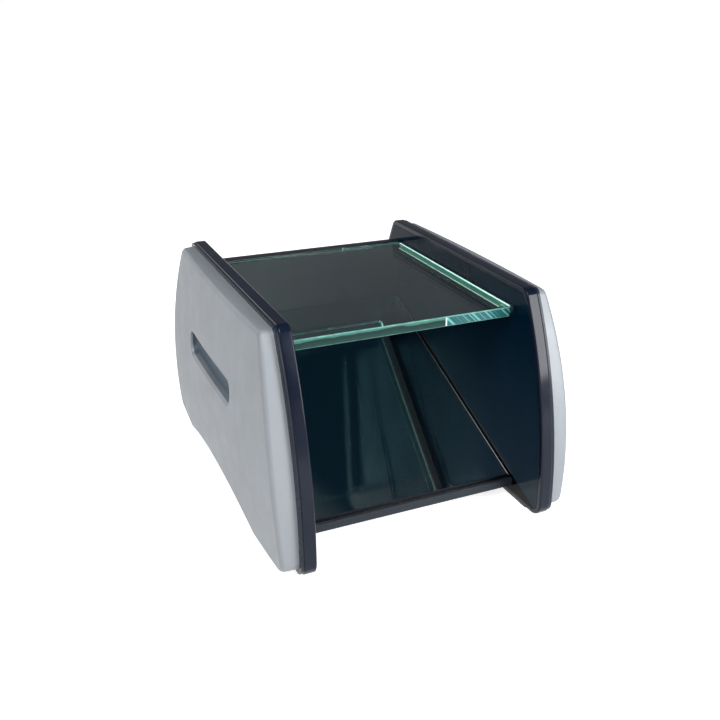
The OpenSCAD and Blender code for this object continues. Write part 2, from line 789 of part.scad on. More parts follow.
// Power inlet: flanged body with a socket for a mains lead
module power_inlet() {
    face_y = device_y + flange_t;
    color("#17181b") difference() {
        union() {
            along_y(inlet_x, device_y, plate_zc, flange_t)
                round_rect(inlet_w + 2 * inlet_lap, inlet_h + 2 * inlet_lap, 2);
            slab(inlet_x - inlet_w / 2, device_y - inlet_d, plate_zc - inlet_h / 2, [inlet_w, inlet_d, inlet_h]);
        }
        along_y(inlet_x, face_y - socket_d, plate_zc, socket_d + cut) socket_outline();
        blade_set(device_y - inlet_d - cut, inlet_d, screw_gap);
    }
}

// The three blades, grown by g, from y onwards
module blade_set(y, length, g) {
    for (b = blades) slab(inlet_x + b[0] - blade_w / 2 - g, y, plate_zc + b[1] - blade_h / 2 - g,
        [blade_w + 2 * g, length, blade_h + 2 * g]);
}

module inlet_pins() {
    tail_y = device_y - inlet_d - blade_tail;
    color("#c9b36a") blade_set(tail_y, device_y + flange_t - socket_d + blade_out - tail_y, 0);
}

// Rocker's pivot: just inside the flange, in the middle of the housing
pivot_in = 3;
pivot_y = device_y + flange_t - pivot_in;
rocker_r = switch_h / 2 - switch_wall - rocker_gap;
rocker_w = switch_w - 2 * switch_wall - 2 * rocker_gap;
rocker_low = 3;

// Housing of the rocker switch
module switch_housing() {
    face_y = device_y + flange_t;
    well = pivot_in + rocker_r * sin(asin(rocker_low / rocker_r) + rocker_tilt) + rocker_gap;
    color("#17181b") difference() {
        union() {
            along_y(switch_x, device_y, plate_zc, flange_t) round_rect(switch_w + 4, switch_h + 4, 1.5);
            slab(switch_x - switch_w / 2, device_y - switch_d, plate_zc - switch_h / 2,
                [switch_w, switch_d, switch_h]);
        }
        slab(switch_x - switch_w / 2 + switch_wall, face_y - well, plate_zc - switch_h / 2 + switch_wall,
            [switch_w - 2 * switch_wall, well + cut, switch_h - 2 * switch_wall]);
        rod_x(switch_x - switch_w / 2 - 2, pivot_y, plate_zc, 2 * (rocker_pin_r + pin_gap), switch_w + 4);
    }
}

// Rocker: two wings that meet in a shallow valley, tipped to "off" at rest, with its pin
module switch_rocker() {
    valley = pivot_in + rocker_out;
    pin_l = rocker_w + 2 * rocker_gap + 2 * switch_wall - 1;
    color("#0e0f11") translate([switch_x, pivot_y, plate_zc]) rotate([-rocker_tilt, 0, 0]) union() {
        along_x(-rocker_w / 2, rocker_w) intersection() {
            circle(rocker_r);
            polygon([
                [-rocker_low, -rocker_r], [valley + rocker_r * tan(rocker_tilt), -rocker_r], [valley, 0],
                [valley + rocker_r * tan(rocker_tilt), rocker_r], [-rocker_low, rocker_r]
            ]);
        }
        rod_x(-pin_l / 2, 0, 0, 2 * rocker_pin_r, pin_l);
    }
}

// Light driver: a case with two fixing ears, on the inside of the back panel
module light_driver() {
    color("#c8cbd0") difference() {
        union() {
            slab(driver_x - driver_w / 2, back_y - driver_d, plate_zc - driver_h / 2,
                [driver_w, driver_d, driver_h]);
            slab(driver_x - driver_w / 2 - driver_ear, back_y - driver_ear_t, plate_zc - driver_h / 4,
                [driver_w + 2 * driver_ear, driver_ear_t, driver_h / 2]);
        }
        for (p = driver_points)
            rod_y(p[0], back_y - driver_ear_t - cut, p[1], small_screw_d + 2 * screw_gap, driver_ear_t + 2 * cut);
    }
}

module driver_screws() {
    color("#8d9096") for (p = driver_points) pan_screw(p, back_y - driver_ear_t, 1, driver_ear_t + small_bite);
}

// Rubber feet, one under each end of each panel
module rubber_feet() {
    yc = (arch_w / 2 + half_d - foot_corner) / 2;
    xc = wall_x + panel_t / 2;
    color("#0c0c0d") for (sx = [-1, 1], sy = [-1, 1]) translate([sx * xc, sy * yc, 0])
        linear_extrude(foot_t) round_rect(foot_w, foot_l, 4);
}

left() side_panel();  // left_side_panel
side_panel();  // right_side_panel
left() liner();  // left_liner
liner();  // right_liner
left() spacer();  // left_spacer
spacer();  // right_spacer
left() cover();  // left_cover
cover();  // right_cover
cover_screws();
glass_plate();
left() glass_ledge();  // left_glass_ledge
glass_ledge();  // right_glass_ledge
glass_pads();
left() light_strip();  // left_light_strip
light_strip();  // right_light_strip
left() diffuser();  // left_diffuser
diffuser();  // right_diffuser
mirror_plate();  // mirror
mirror_board();
left() mirror_batten();  // left_mirror_batten
mirror_batten();  // right_mirror_batten
front_rail();
back_panel();
frame_screws();
ledge_screws();
batten_screws();
connector_plate();
plate_screws();
power_inlet();
inlet_pins();
switch_housing();
switch_rocker();
light_driver();
driver_screws();
rubber_feet();
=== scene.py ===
# %% [markdown]
# A podoscope is a lit glass plate to stand on, over a tilted mirror that shows it from below. Two
# black side panels carry the glass, and each wears a silver moulded cover with a handle recess.
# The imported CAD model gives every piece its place. This lesson dresses it: first the camera,
# then the finishes, then one piece after another, and at the end the floor and the light.

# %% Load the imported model
import math

import bpy
import bmesh
import numpy as np
from mathutils import Matrix, Vector


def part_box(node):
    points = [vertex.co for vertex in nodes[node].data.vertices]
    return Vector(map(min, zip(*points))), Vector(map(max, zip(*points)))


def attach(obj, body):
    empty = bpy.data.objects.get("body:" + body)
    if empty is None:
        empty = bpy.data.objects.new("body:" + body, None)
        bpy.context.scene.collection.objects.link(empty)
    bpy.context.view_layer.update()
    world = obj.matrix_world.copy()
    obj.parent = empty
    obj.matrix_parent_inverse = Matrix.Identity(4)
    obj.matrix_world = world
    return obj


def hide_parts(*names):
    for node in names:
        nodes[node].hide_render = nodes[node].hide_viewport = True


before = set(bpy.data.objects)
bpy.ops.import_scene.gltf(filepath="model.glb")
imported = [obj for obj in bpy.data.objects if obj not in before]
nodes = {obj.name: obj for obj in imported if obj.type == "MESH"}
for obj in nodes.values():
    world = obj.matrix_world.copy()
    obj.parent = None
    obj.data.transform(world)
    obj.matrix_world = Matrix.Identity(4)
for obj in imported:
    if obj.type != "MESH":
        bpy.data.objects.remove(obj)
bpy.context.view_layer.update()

# %% [markdown]
# The camera comes first, because every later choice is judged through it. Its place and lens were
# found by fitting straight edges of the photograph to the CAD sizes. Yaw turns it from +Y towards
# +X, pitch tips it down, and roll is the slight lean of a hand-held picture.

# %% Camera
CAMERA_AT = (-0.5092, -1.1794, 0.7294)
CAMERA_YAW, CAMERA_PITCH, CAMERA_ROLL = 0.418288, 0.408529, 0.0064955
LENS_MM, SENSOR_MM = 43.44, 36.0


def add_object(name, data):
    added = bpy.data.objects.new(name, data)
    bpy.context.scene.collection.objects.link(added)
    return added


def make_camera():
    yaw, pitch, roll = CAMERA_YAW, CAMERA_PITCH, CAMERA_ROLL
    ahead = Vector((math.sin(yaw) * math.cos(pitch), math.cos(yaw) * math.cos(pitch), -math.sin(pitch)))
    right = Vector((math.cos(yaw), -math.sin(yaw), 0))
    up = right.cross(ahead)
    leaning_right = right * math.cos(roll) + up * math.sin(roll)
    leaning_up = up * math.cos(roll) - right * math.sin(roll)
    camera = add_object("camera", bpy.data.cameras.new("camera"))
    camera.data.lens = LENS_MM
    camera.data.sensor_width = SENSOR_MM
    camera.matrix_world = Matrix((leaning_right, leaning_up, -ahead)).transposed().to_4x4()
    camera.location = CAMERA_AT
    bpy.context.scene.camera = camera
    return camera


camera = make_camera()
print("camera at", tuple(round(v, 3) for v in camera.location))

# %% [markdown]
# Most pieces are lofts: closed rings of points, one after another, joined by four-sided faces.
# The helpers join the rings and close the two ends, smooth the mesh and keep edges sharp where the
# surface turns. Large faces weigh most in the shading, so a flat stays flat beside a small round.
# A modifier that has done its work becomes a plain mesh.

# %% Helpers for meshes
MM = 0.001
SMOOTH_BELOW = math.radians(34)


def apply_modifiers(piece):
    bpy.context.view_layer.update()
    seen = piece.evaluated_get(bpy.context.evaluated_depsgraph_get())
    made = bpy.data.meshes.new_from_object(seen)
    piece.modifiers.clear()
    old = piece.data
    piece.data = made
    bpy.data.meshes.remove(old)
    return piece


def opened(mesh):
    work = bmesh.new()
    work.from_mesh(mesh)
    return work


def show(name, mesh, finishes, work):
    """Shade a mesh smooth up to an angle, give it its finishes and link it as an object."""
    for face in work.faces:
        face.smooth = True
    for edge in work.edges:
        edge.smooth = len(edge.link_faces) == 2 and edge.calc_face_angle(0) < SMOOTH_BELOW
    mesh.materials.clear()
    for material in finishes:
        mesh.materials.append(material)
    work.to_mesh(mesh)
    work.free()
    piece = add_object(name, mesh)
    flat = piece.modifiers.new("keep_flats_flat", "WEIGHTED_NORMAL")
    flat.keep_sharp = True
    return apply_modifiers(piece)


def loft(name, rings, *finishes, side=1, close_start=True, close_end=True):
    """A piece from rings of points in millimetres. With side=-1 it is mirrored to the left."""
    count = len(rings[0])
    last = (len(rings) - 1) * count
    faces = []
    for a in range(0, last, count):
        b = a + count
        for j in range(count):
            after = (j + 1) % count
            faces.append((a + j, a + after, b + after, b + j))
    if close_start:
        faces.append(tuple(range(count)))
    if close_end:
        faces.append(tuple(last + j for j in reversed(range(count))))
    points = [(side * MM * float(x), MM * float(y), MM * float(z)) for ring in rings for x, y, z in ring]
    mesh = bpy.data.meshes.new(name)
    mesh.from_pydata(points, [], faces)
    work = opened(mesh)
    bmesh.ops.recalc_face_normals(work, faces=work.faces)
    return show(name, mesh, finishes, work)


# %% [markdown]
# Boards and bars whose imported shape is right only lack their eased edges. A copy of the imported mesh
# is merged, its flat faces are joined, and its long edges get a small round. A second finish can
# go on those rounds, as it does on the ledges and the mirror.

# %% Helper for eased copies
MERGE_WITHIN = 1e-6
FLAT_WITHIN, CORNER_FROM = math.radians(1), math.radians(30)


def eased_copy(name, source, ease_mm, face_finish, edge_finish=None, longer_than_mm=12.0, steps=3):
    work = opened(nodes[source].data)
    bmesh.ops.remove_doubles(work, verts=work.verts, dist=MERGE_WITHIN)
    bmesh.ops.dissolve_limit(work, angle_limit=FLAT_WITHIN, verts=work.verts, edges=work.edges)
    for face in work.faces:
        face.material_index = 0
    long_edges = [e for e in work.edges if len(e.link_faces) == 2 and e.calc_length() > longer_than_mm * MM
                  and e.calc_face_angle(0) > CORNER_FROM]
    made = bmesh.ops.bevel(work, geom=long_edges, offset=ease_mm * MM, segments=steps, profile=0.5,
                           affect="EDGES", clamp_overlap=True)
    finishes = [face_finish]
    if edge_finish:
        finishes.append(edge_finish)
        for face in made["faces"]:
            face.material_index = 1
    return show(name, bpy.data.meshes.new(name), finishes, work)


# %% [markdown]
# Every dressed piece rides on a body, wears one of the finishes made here, and takes the place of the
# imported pieces it stands for.

# %% Helpers that hand a piece to the frame
def dress(piece, body, slot, *replaced):
    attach(piece, body)
    if replaced:
        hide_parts(*replaced)
    print(piece.name, len(piece.data.polygons), "faces")
    return piece


def dress_eased(name, source, ease_mm, material, slot, body="stand", **more):
    dress(eased_copy(name, source, ease_mm, material, **more), body, slot, source)


# %% [markdown]
# Every node tree here is built with two helpers. One feeds a node's inputs, by name or number, with
# values or with other nodes' outputs. The other adds a node with its options and feeds it.

# %% Helpers for node trees
def feed(tree, node, values):
    for socket, value in values.items():
        if isinstance(value, bpy.types.NodeSocket):
            tree.links.new(value, node.inputs[socket])
        else:
            node.inputs[socket].default_value = value


def add_node(tree, kind, values, output=0, **options):
    node = tree.nodes.new(kind)
    for option, value in options.items():
        setattr(node, option, value)
    feed(tree, node, values)
    return node.outputs[output]


# %% [markdown]
# All finishes start from the same node set: a principled shader whose colour and roughness are
# broken up a little by noise, and a fine bump. Real surfaces are never one flat colour.
# The patterns read Object coordinates, which stay with the piece when it moves.

# %% Helpers for finishes
def linear(r, g, b):
    """A screen colour of 0 to 255 in the linear values that the shaders work with."""
    def one(v):
        v = v / 255
        return v / 12.92 if v <= 0.04045 else ((v + 0.055) / 1.055) ** 2.4
    return (one(r), one(g), one(b), 1.0)


def grey(v):
    return (v, v, v, 1.0)


def new_material(name):
    material = bpy.data.materials.new(name)
    material.use_nodes = True
    return material, material.node_tree, material.node_tree.nodes["Principled BSDF"]


def place_on(tree, kind="Object"):
    return tree.nodes.new("ShaderNodeTexCoord").outputs[kind]


def axes_of(tree, place):
    """The X, Y and Z of a place."""
    return add_node(tree, "ShaderNodeSeparateXYZ", {0: place}).node.outputs


def noise_node(tree, place, scale, detail=4.0, rough=0.55):
    return add_node(tree, "ShaderNodeTexNoise",
                    {"Vector": place, "Scale": scale, "Detail": detail, "Roughness": rough})


def bands_node(tree, factor, bands):
    """A ramp of colours; each band is its place, 0 to 1, and its colour."""
    ramp = add_node(tree, "ShaderNodeValToRGB", {"Fac": factor})
    stops = ramp.node.color_ramp.elements
    stops[0].position, stops[1].position = bands[0][0], bands[-1][0]
    for at, _ in bands[1:-1]:
        stops.new(at)
    for stop, (_, colour) in zip(stops, bands):
        stop.color = colour
    return ramp


def ramp_node(tree, factor, low, high, at=(0.3, 0.7)):
    return bands_node(tree, factor, ((at[0], low), (at[1], high)))


def mix_node(tree, blend, factor, first, second):
    return add_node(tree, "ShaderNodeMix", {"Factor": factor, 6: first, 7: second}, output=2,
                    data_type="RGBA", blend_type=blend)


def maths(tree, kind, first, second=0.0, third=0.0, clamp=False):
    return add_node(tree, "ShaderNodeMath", {0: first, 1: second, 2: third}, operation=kind,
                    use_clamp=clamp)


# %% [markdown]
# A sprayed metal paint also has flecks. Some finishes glow a little, a painted glow where lamp light
# leaves them. Some change along one axis: one colour up to a first distance from the middle, the plain
# one past a second. Every such change here paints light and shade into a finish.

# %% The common finish
FLECK_SCALE, FLECK_AT = 1500.0, (0.35, 0.65)
WEAR_IS_FINER, BUMP_STRENGTH = 3.1, 0.5


def finish(name, colour, roughness, spread=0.06, metallic=0.0, patch=9.0, rough_spread=0.05,
           grain=700.0, grain_depth=0.00002, specular=0.5, fleck=0.0, glow=0.0, below=None, along="Z"):
    """One finish. With below=(colour, near, far), that colour reaches out to near and is gone at far."""
    material, tree, shader = new_material(name)
    place = place_on(tree)
    dark = tuple(c * (1 - spread) for c in colour[:3]) + (1.0,)
    light = tuple(min(1.0, c * (1 + spread)) for c in colour[:3]) + (1.0,)
    tint = ramp_node(tree, noise_node(tree, place, patch), dark, light)
    if fleck:
        fine = noise_node(tree, place, FLECK_SCALE, detail=1.0)
        flecks = ramp_node(tree, fine, grey(1 - fleck), grey(1 + fleck), FLECK_AT)
        tint = mix_node(tree, "MULTIPLY", 1.0, tint, flecks)
    if below:
        near_colour, near, far = below
        off = maths(tree, "ABSOLUTE", axes_of(tree, place)[along])
        part = maths(tree, "DIVIDE", maths(tree, "SUBTRACT", off, near), far - near, clamp=True)
        tint = mix_node(tree, "MIX", part, near_colour, tint)
    if glow:
        feed(tree, shader, {"Emission Color": tint, "Emission Strength": glow})
    wear = noise_node(tree, place, patch * WEAR_IS_FINER)
    worn = ramp_node(tree, wear, grey(roughness - rough_spread), grey(roughness + rough_spread))
    bump = add_node(tree, "ShaderNodeBump", {"Height": noise_node(tree, place, grain, detail=2.0),
                                             "Strength": BUMP_STRENGTH, "Distance": grain_depth})
    feed(tree, shader, {"Base Color": tint, "Roughness": worn, "Normal": bump, "Metallic": metallic,
                        "Specular IOR Level": specular})
    print("finish", name)
    return material


# %% [markdown]
# The covers are sprayed silver over a moulded skin: a light grey with fine flecks, between matt and
# satin. In the handle recess light and shade are painted into the grey: it is darkest on the lip,
# which faces the light, and palest at the shaded bottom, so that the whole recess looks one grey.
# The panels are black lacquer with a breath of blue. The liners are glossy sheet, a blue so dark
# that little but reflections show; their lower part is painted lighter, a painted reflection.

# %% Painted finishes
silver = finish("silver_paint", linear(136, 141, 146), 0.47, spread=0.03, metallic=0.15, grain=1400.0,
                grain_depth=0.00001, fleck=0.05)
# Recess finish: painted shade, dark on the lip, and painted light, pale at the bottom.
recess_grey_painted_shade = finish("recess_paint", linear(72, 82, 92), 0.5, spread=0.04, metallic=0.2, grain=1400.0,
                     grain_depth=0.00001, fleck=0.05, below=(linear(182, 196, 208), 0.206, 0.227), along="X")
panel_black = finish("panel_lacquer", linear(16, 23, 38), 0.16, spread=0.12, grain=900.0,
                     grain_depth=0.000004, specular=0.2)
# The liners are painted lighter towards the bottom: a painted reflection of the bright floor.
liner_gloss = finish("liner_sheet", linear(0, 24, 40), 0.1, spread=0.2, rough_spread=0.03, specular=0.07,
                     grain=60.0, grain_depth=0.00001, patch=5.0, below=(linear(30, 44, 56), 0.04, 0.30))
spacer_dark = finish("spacer_sheet", linear(30, 37, 48), 0.25, spread=0.1, specular=0.2)
board_black = finish("board_lacquer", linear(23, 26, 32), 0.4, spread=0.15, grain=500.0, specular=0.3)
rail_dark = finish("rail_lacquer", linear(28, 36, 44), 0.35, spread=0.1, grain=600.0, specular=0.25)

# %% Plastic and rubber finishes
rubber_black = finish("rubber", linear(24, 24, 25), 0.7, spread=0.2, grain=1500.0, grain_depth=0.00004)
device_black = finish("device_plastic", linear(27, 27, 29), 0.5, spread=0.1, grain=2500.0)
rocker_gloss = finish("rocker_plastic", linear(18, 18, 19), 0.2, spread=0.1, rough_spread=0.04)
mark_white = finish("mark_paint", linear(214, 214, 210), 0.5, spread=0.04)
# The glass pads are painted a light teal and glow: painted light from the lamp strips, through the glass.
pad_milky_painted_glow = finish("pad_silicone", linear(96, 158, 140), 0.5, spread=0.12, patch=30.0, glow=0.35)
opal = finish("opal_strip", linear(190, 214, 206), 0.35, spread=0.03)
lamp_board = finish("lamp_board", linear(222, 224, 218), 0.5, spread=0.03)

# %% [markdown]
# The ledges are aluminium. Their tops, just under the glass, carry painted light: a teal glow for the
# lamps' light they catch. Below that they are plain dark metal.

# %% Metal finishes
LEDGE_DARK = (linear(40, 44, 46), 0.2845, 0.2862)
anodised_black = finish("anodised_black", linear(38, 39, 42), 0.35, spread=0.1, metallic=0.6, grain=1800.0)
ledge_satin = finish("ledge_satin", linear(96, 150, 136), 0.4, spread=0.1, metallic=0.7, grain=1500.0,
                     glow=0.4, below=LEDGE_DARK)
# The ledges' rounds: a brighter painted highlight.
ledge_edge = finish("ledge_edge", linear(226, 240, 236), 0.4, spread=0.1, metallic=0.7, grain=1500.0,
                    glow=0.8, below=LEDGE_DARK)
bare_aluminium = finish("bare_aluminium", linear(186, 188, 192), 0.34, spread=0.05, metallic=1.0,
                        grain=1200.0)
zinc_steel = finish("zinc_steel", linear(170, 171, 174), 0.28, spread=0.08, metallic=1.0, grain=1200.0)
brass = finish("brass_pin", linear(204, 176, 110), 0.25, spread=0.06, metallic=1.0)

# %% [markdown]
# Mirror and liner don't quite touch, and the gap between them is dark. A thin shadow on each liner
# follows the slope of the mirror, just above its edge, and fades out within a few millimetres.

# %% Shadow line on the liners
MIRROR_SLOPE, MIRROR_LOW_Y, MIRROR_LOW_Z = math.radians(21), -0.2132, 0.0375
SHADOW_FADE, SHADOW_CURVE = 0.0028, 4.0


def add_shadow_line(material):
    tree = material.node_tree
    shader = tree.nodes["Principled BSDF"]
    _, y, z = axes_of(tree, place_on(tree))
    run = maths(tree, "SUBTRACT", y, MIRROR_LOW_Y)
    rise = maths(tree, "SUBTRACT", z, MIRROR_LOW_Z)
    across = maths(tree, "SUBTRACT", maths(tree, "MULTIPLY", rise, math.cos(MIRROR_SLOPE)),
                   maths(tree, "MULTIPLY", run, math.sin(MIRROR_SLOPE)))
    height = maths(tree, "DIVIDE", across, SHADOW_FADE, clamp=True)
    fade = maths(tree, "POWER", height, SHADOW_CURVE)
    plain = shader.inputs["Base Color"].links[0].from_socket
    feed(tree, shader, {"Base Color": mix_node(tree, "MIX", fade, linear(0, 2, 4), plain)})


add_shadow_line(liner_gloss)

# %% [markdown]
# The mirror is coated on its face and a little tinted; the face is painted lighter towards the bottom,
# a painted reflection. Its two side edges are ground, and each carries a painted highlight: a bright,
# glowing line that fades upwards. The front edge is dark.

# %% Mirror finishes
# The face is painted lighter towards its lower edge: a painted reflection.
mirror_face = finish("mirror_silvering", (0.46, 0.72, 0.80, 1), 0.02, spread=0.02, rough_spread=0.01,
                     metallic=1.0, grain=40.0, grain_depth=0.0000002,
                     below=((0.90, 0.92, 0.92, 1), 0.04, 0.20))
# The side edges' painted highlight: bright and glowing low down, fading upwards.
mirror_painted_highlight = finish("mirror_ground_edge", linear(76, 84, 92), 0.4, spread=0.06, grain=1500.0, glow=0.5,
                       below=(linear(250, 244, 240), 0.04, 0.16))
mirror_front = finish("mirror_front_edge", linear(4, 8, 20), 0.5, spread=0.1, specular=0.1)

# %% [markdown]
# The glass is float glass 15 mm thick. Its faces are clear, with a green that sits in the volume, so
# that a long way through it is deep teal. Its edges look quite different: light from the lamp
# strips runs inside the plate and leaves it there, and that light is painted onto the edges as a
# glow. The front edge is polished and shows slanted streaks of painted light, and the side edges are
# ground and glow in soft painted bands.

# %% Glass finish
GLASS_BENDS, GLASS_ABSORBS = 1.5, 6.0


def make_glass():
    material, tree, shader = new_material("plate_glass")
    patches = noise_node(tree, place_on(tree), scale=6.0)
    film = ramp_node(tree, patches, (0.82, 0.93, 0.91, 1), (0.86, 0.97, 0.95, 1))
    feed(tree, shader, {"Base Color": film, "Transmission Weight": 1.0, "IOR": GLASS_BENDS,
                        "Roughness": 0.0})
    absorb = add_node(tree, "ShaderNodeVolumeAbsorption",
                      {"Color": (0.30, 0.85, 0.72, 1), "Density": GLASS_ABSORBS})
    feed(tree, tree.nodes["Material Output"], {"Volume": absorb})
    return material


plate_glass = make_glass()
glass_low, glass_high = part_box("glass_plate")

# %% Helpers for the edges of the glass
EDGE_SPECULAR = 0.2


def edge_glass(name, roughness, glow):
    """A glass edge: returns the material, its tree, its shader and its place along X, Y and Z."""
    material, tree, shader = new_material(name)
    feed(tree, shader, {"Roughness": roughness, "Emission Strength": glow,
                        "Specular IOR Level": EDGE_SPECULAR})
    return material, tree, shader, axes_of(tree, place_on(tree))


def noise_along(tree, value, detail=2.0):
    return add_node(tree, "ShaderNodeTexNoise", {"Scale": 1.0, "Detail": detail, "W": value},
                    noise_dimensions="1D")


def height_in_plate(tree, z):
    return maths(tree, "DIVIDE", maths(tree, "SUBTRACT", z, glass_low[2]), glass_high[2] - glass_low[2])


def waved_height(tree, z, sideways, waves_per_m, wave_height):
    """The height in the plate, 0 to 1, made wavy along the edge."""
    wave = noise_along(tree, maths(tree, "MULTIPLY", sideways, waves_per_m))
    return maths(tree, "ADD", height_in_plate(tree, z), maths(tree, "MULTIPLY", wave, wave_height))


def colour_and_glow(tree, shader, tint):
    feed(tree, shader, {"Base Color": tint, "Emission Color": tint})


# %% [markdown]
# The front edge has two parts, both painted light. The left one is dark with a wavy painted light
# band along its top. The right one has the slanted painted streaks, and a painted highlight, a bright
# line, stands where it begins.

# %% Polished front edge
STREAKS_FROM, STREAKS_ACROSS, STREAKS_UP, STREAKS_SHARP = 0.065, 190.0, 200.0, 900.0
SEAM_HIGHLIGHT_BESIDE, SEAM_HIGHLIGHT_CORE, SEAM_HIGHLIGHT_SHARP = 0.001, 1.6, 1000.0


def make_polished_edge():
    material, tree, shader, (x, _, z) = edge_glass("polished_glass_edge", 0.12, 0.08)
    waved = waved_height(tree, z, x, waves_per_m=22.0, wave_height=0.5)
    plain = ramp_node(tree, waved, linear(22, 62, 56), linear(12, 44, 42), (0.35, 0.75))
    top = ramp_node(tree, waved, grey(0), grey(1), (0.95, 1.0))
    plain = mix_node(tree, "MIX", top, plain, linear(56, 112, 100))
    slanted = maths(tree, "ADD", maths(tree, "MULTIPLY", x, STREAKS_ACROSS),
                    maths(tree, "MULTIPLY", z, STREAKS_UP))
    streaks = ramp_node(tree, noise_along(tree, slanted, detail=3.0), linear(32, 86, 90),
                        linear(104, 166, 162), (0.50, 0.66))
    right = maths(tree, "MULTIPLY", maths(tree, "SUBTRACT", x, STREAKS_FROM), STREAKS_SHARP, clamp=True)
    tint = mix_node(tree, "MIX", right, plain, streaks)
    off = maths(tree, "ABSOLUTE", maths(tree, "SUBTRACT", x, STREAKS_FROM - SEAM_HIGHLIGHT_BESIDE))
    seam_highlight = maths(tree, "SUBTRACT", SEAM_HIGHLIGHT_CORE, maths(tree, "MULTIPLY", off, SEAM_HIGHLIGHT_SHARP), clamp=True)
    colour_and_glow(tree, shader, mix_node(tree, "MIX", seam_highlight, tint, linear(200, 236, 212)))
    return material


# %% Ground side edges
# The ground side edges glow in soft bands of painted light.
BANDS = ((0.12, (150, 205, 190)), (0.28, (86, 156, 136)), (0.42, (120, 190, 170)), (0.56, (228, 246, 240)),
         (0.95, (240, 252, 248)))


def make_ground_edge():
    material, tree, shader, (_, y, z) = edge_glass("ground_glass_edge", 0.5, 1.25)
    waved = waved_height(tree, z, y, waves_per_m=30.0, wave_height=0.3)
    bands = bands_node(tree, waved, [(at, linear(*colour)) for at, colour in BANDS])
    colour_and_glow(tree, shader, bands)
    return material


# %% Arrises of the glass
# The arrises carry a faint teal painted glow.
ARRIS_PATCHES = 60.0


def make_arris():
    material, tree, shader, (x, y, _) = edge_glass("glass_arris", 0.35, 0.08)
    along = maths(tree, "ADD", maths(tree, "MULTIPLY", x, ARRIS_PATCHES),
                  maths(tree, "MULTIPLY", y, ARRIS_PATCHES))
    tint = ramp_node(tree, noise_along(tree, along), linear(78, 130, 120), linear(116, 168, 156))
    colour_and_glow(tree, shader, tint)
    return material


# %% The three edge finishes
polished_edge = make_polished_edge()
ground_edge = make_ground_edge()
glass_arris = make_arris()
print("glass from", [round(v, 4) for v in glass_low], "to", [round(v, 4) for v in glass_high])

# %% [markdown]
# Seen from the side, panel, liner, spacer and cover share one outline: bowed front and back, a flat
# top, round corners, and a low arch between the feet. Each sits a little further in than the one
# before. One function draws it, set in by any amount, always with the same number of points,
# so that two outlines can be joined by a loft.

# %% Side outline
BASE_Z, TOP_Z = 4.0, 337.0
HALF_DEPTH = 294.0
BOW_R, BOW_Z = 666.0, 20.0
TOP_CORNER, FOOT_CORNER = 16.0, 21.0
ARCH_W, ARCH_RISE = 330.0, 27.0
ARCH_R = ((ARCH_W / 2) ** 2 + ARCH_RISE ** 2) / (2 * ARCH_RISE)
ARCH_Z = BASE_Z + ARCH_RISE - ARCH_R
BOW_Y = HALF_DEPTH - BOW_R
SMALLEST_CORNER = 4.0
N_ARCH, N_FOOT, N_CORNER, N_BOW, N_TOP = 26, 5, 10, 30, 18


def half_outline(inset, bottom, top, corner_add=0.0):
    """The front half, from the middle of the arch round to the middle of the top, as (y, z)."""
    top_r = max(TOP_CORNER + corner_add - inset, SMALLEST_CORNER)
    foot_r = max(FOOT_CORNER + corner_add - inset, SMALLEST_CORNER)
    top_z, foot_z = TOP_Z - top - top_r, BASE_Z + bottom + foot_r
    top_turn = math.asin((top_z - BOW_Z) / (BOW_R - inset - top_r))
    foot_turn = math.asin((foot_z - BOW_Z) / (BOW_R - inset - foot_r))
    top_y = BOW_Y + (BOW_R - inset - top_r) * math.cos(top_turn)
    foot_y = BOW_Y + (BOW_R - inset - foot_r) * math.cos(foot_turn)
    arch_r = ARCH_R + inset
    arch_w = math.sqrt(arch_r ** 2 - (BASE_Z + bottom - ARCH_Z) ** 2)
    line = []
    for k in range(N_ARCH + 1):
        y = arch_w * k / N_ARCH
        line.append((y, ARCH_Z + math.sqrt(arch_r * arch_r - y * y)))
    for k in range(1, N_FOOT):
        line.append((arch_w + (foot_y - arch_w) * k / N_FOOT, BASE_Z + bottom))
    for k in range(N_CORNER + 1):
        a = -math.pi / 2 + (foot_turn + math.pi / 2) * k / N_CORNER
        line.append((foot_y + foot_r * math.cos(a), foot_z + foot_r * math.sin(a)))
    for k in range(1, N_BOW):
        a = foot_turn + (top_turn - foot_turn) * k / N_BOW
        line.append((BOW_Y + (BOW_R - inset) * math.cos(a), BOW_Z + (BOW_R - inset) * math.sin(a)))
    for k in range(N_CORNER + 1):
        a = top_turn + (math.pi / 2 - top_turn) * k / N_CORNER
        line.append((top_y + top_r * math.cos(a), top_z + top_r * math.sin(a)))
    for k in range(1, N_TOP + 1):
        line.append((top_y * (1 - k / N_TOP), TOP_Z - top))
    return line


def outline(inset, bottom=None, top=None, corner_add=0.0):
    """The whole outline; the bottom and the top are set in as far as the rest unless given."""
    bottom = inset if bottom is None else bottom
    top = inset if top is None else top
    half = half_outline(inset, bottom, top, corner_add)
    back = [(-y, z) for y, z in half[-2:0:-1]]
    return np.array(half + back)


print("outline points:", len(outline(0)))

# %% [markdown]
# Each side panel is a thick lacquered board. Its long edges are eased by hand to a few millimetres,
# and that is where the light catches it. The inner face is let in for the glossy liner, with a thin
# shadow line all round, so the board's inner rings step down into the recess and close there.

# %% Side panels
WALL_X, PANEL_T, LINER_T = 175.0, 18.0, 3.0
EDGE_R, RECESS_EASE, LINER_BORDER = 2.5, 0.5, 8.0
FLAT_RING, OUTSIDE_END, RECESS_END = 14.0, 30.0, 22.0
N_EDGE, N_RECESS = 6, 4


def ring_at(x, inset):
    flat = outline(inset)
    return np.column_stack([np.full(len(flat), x), flat])


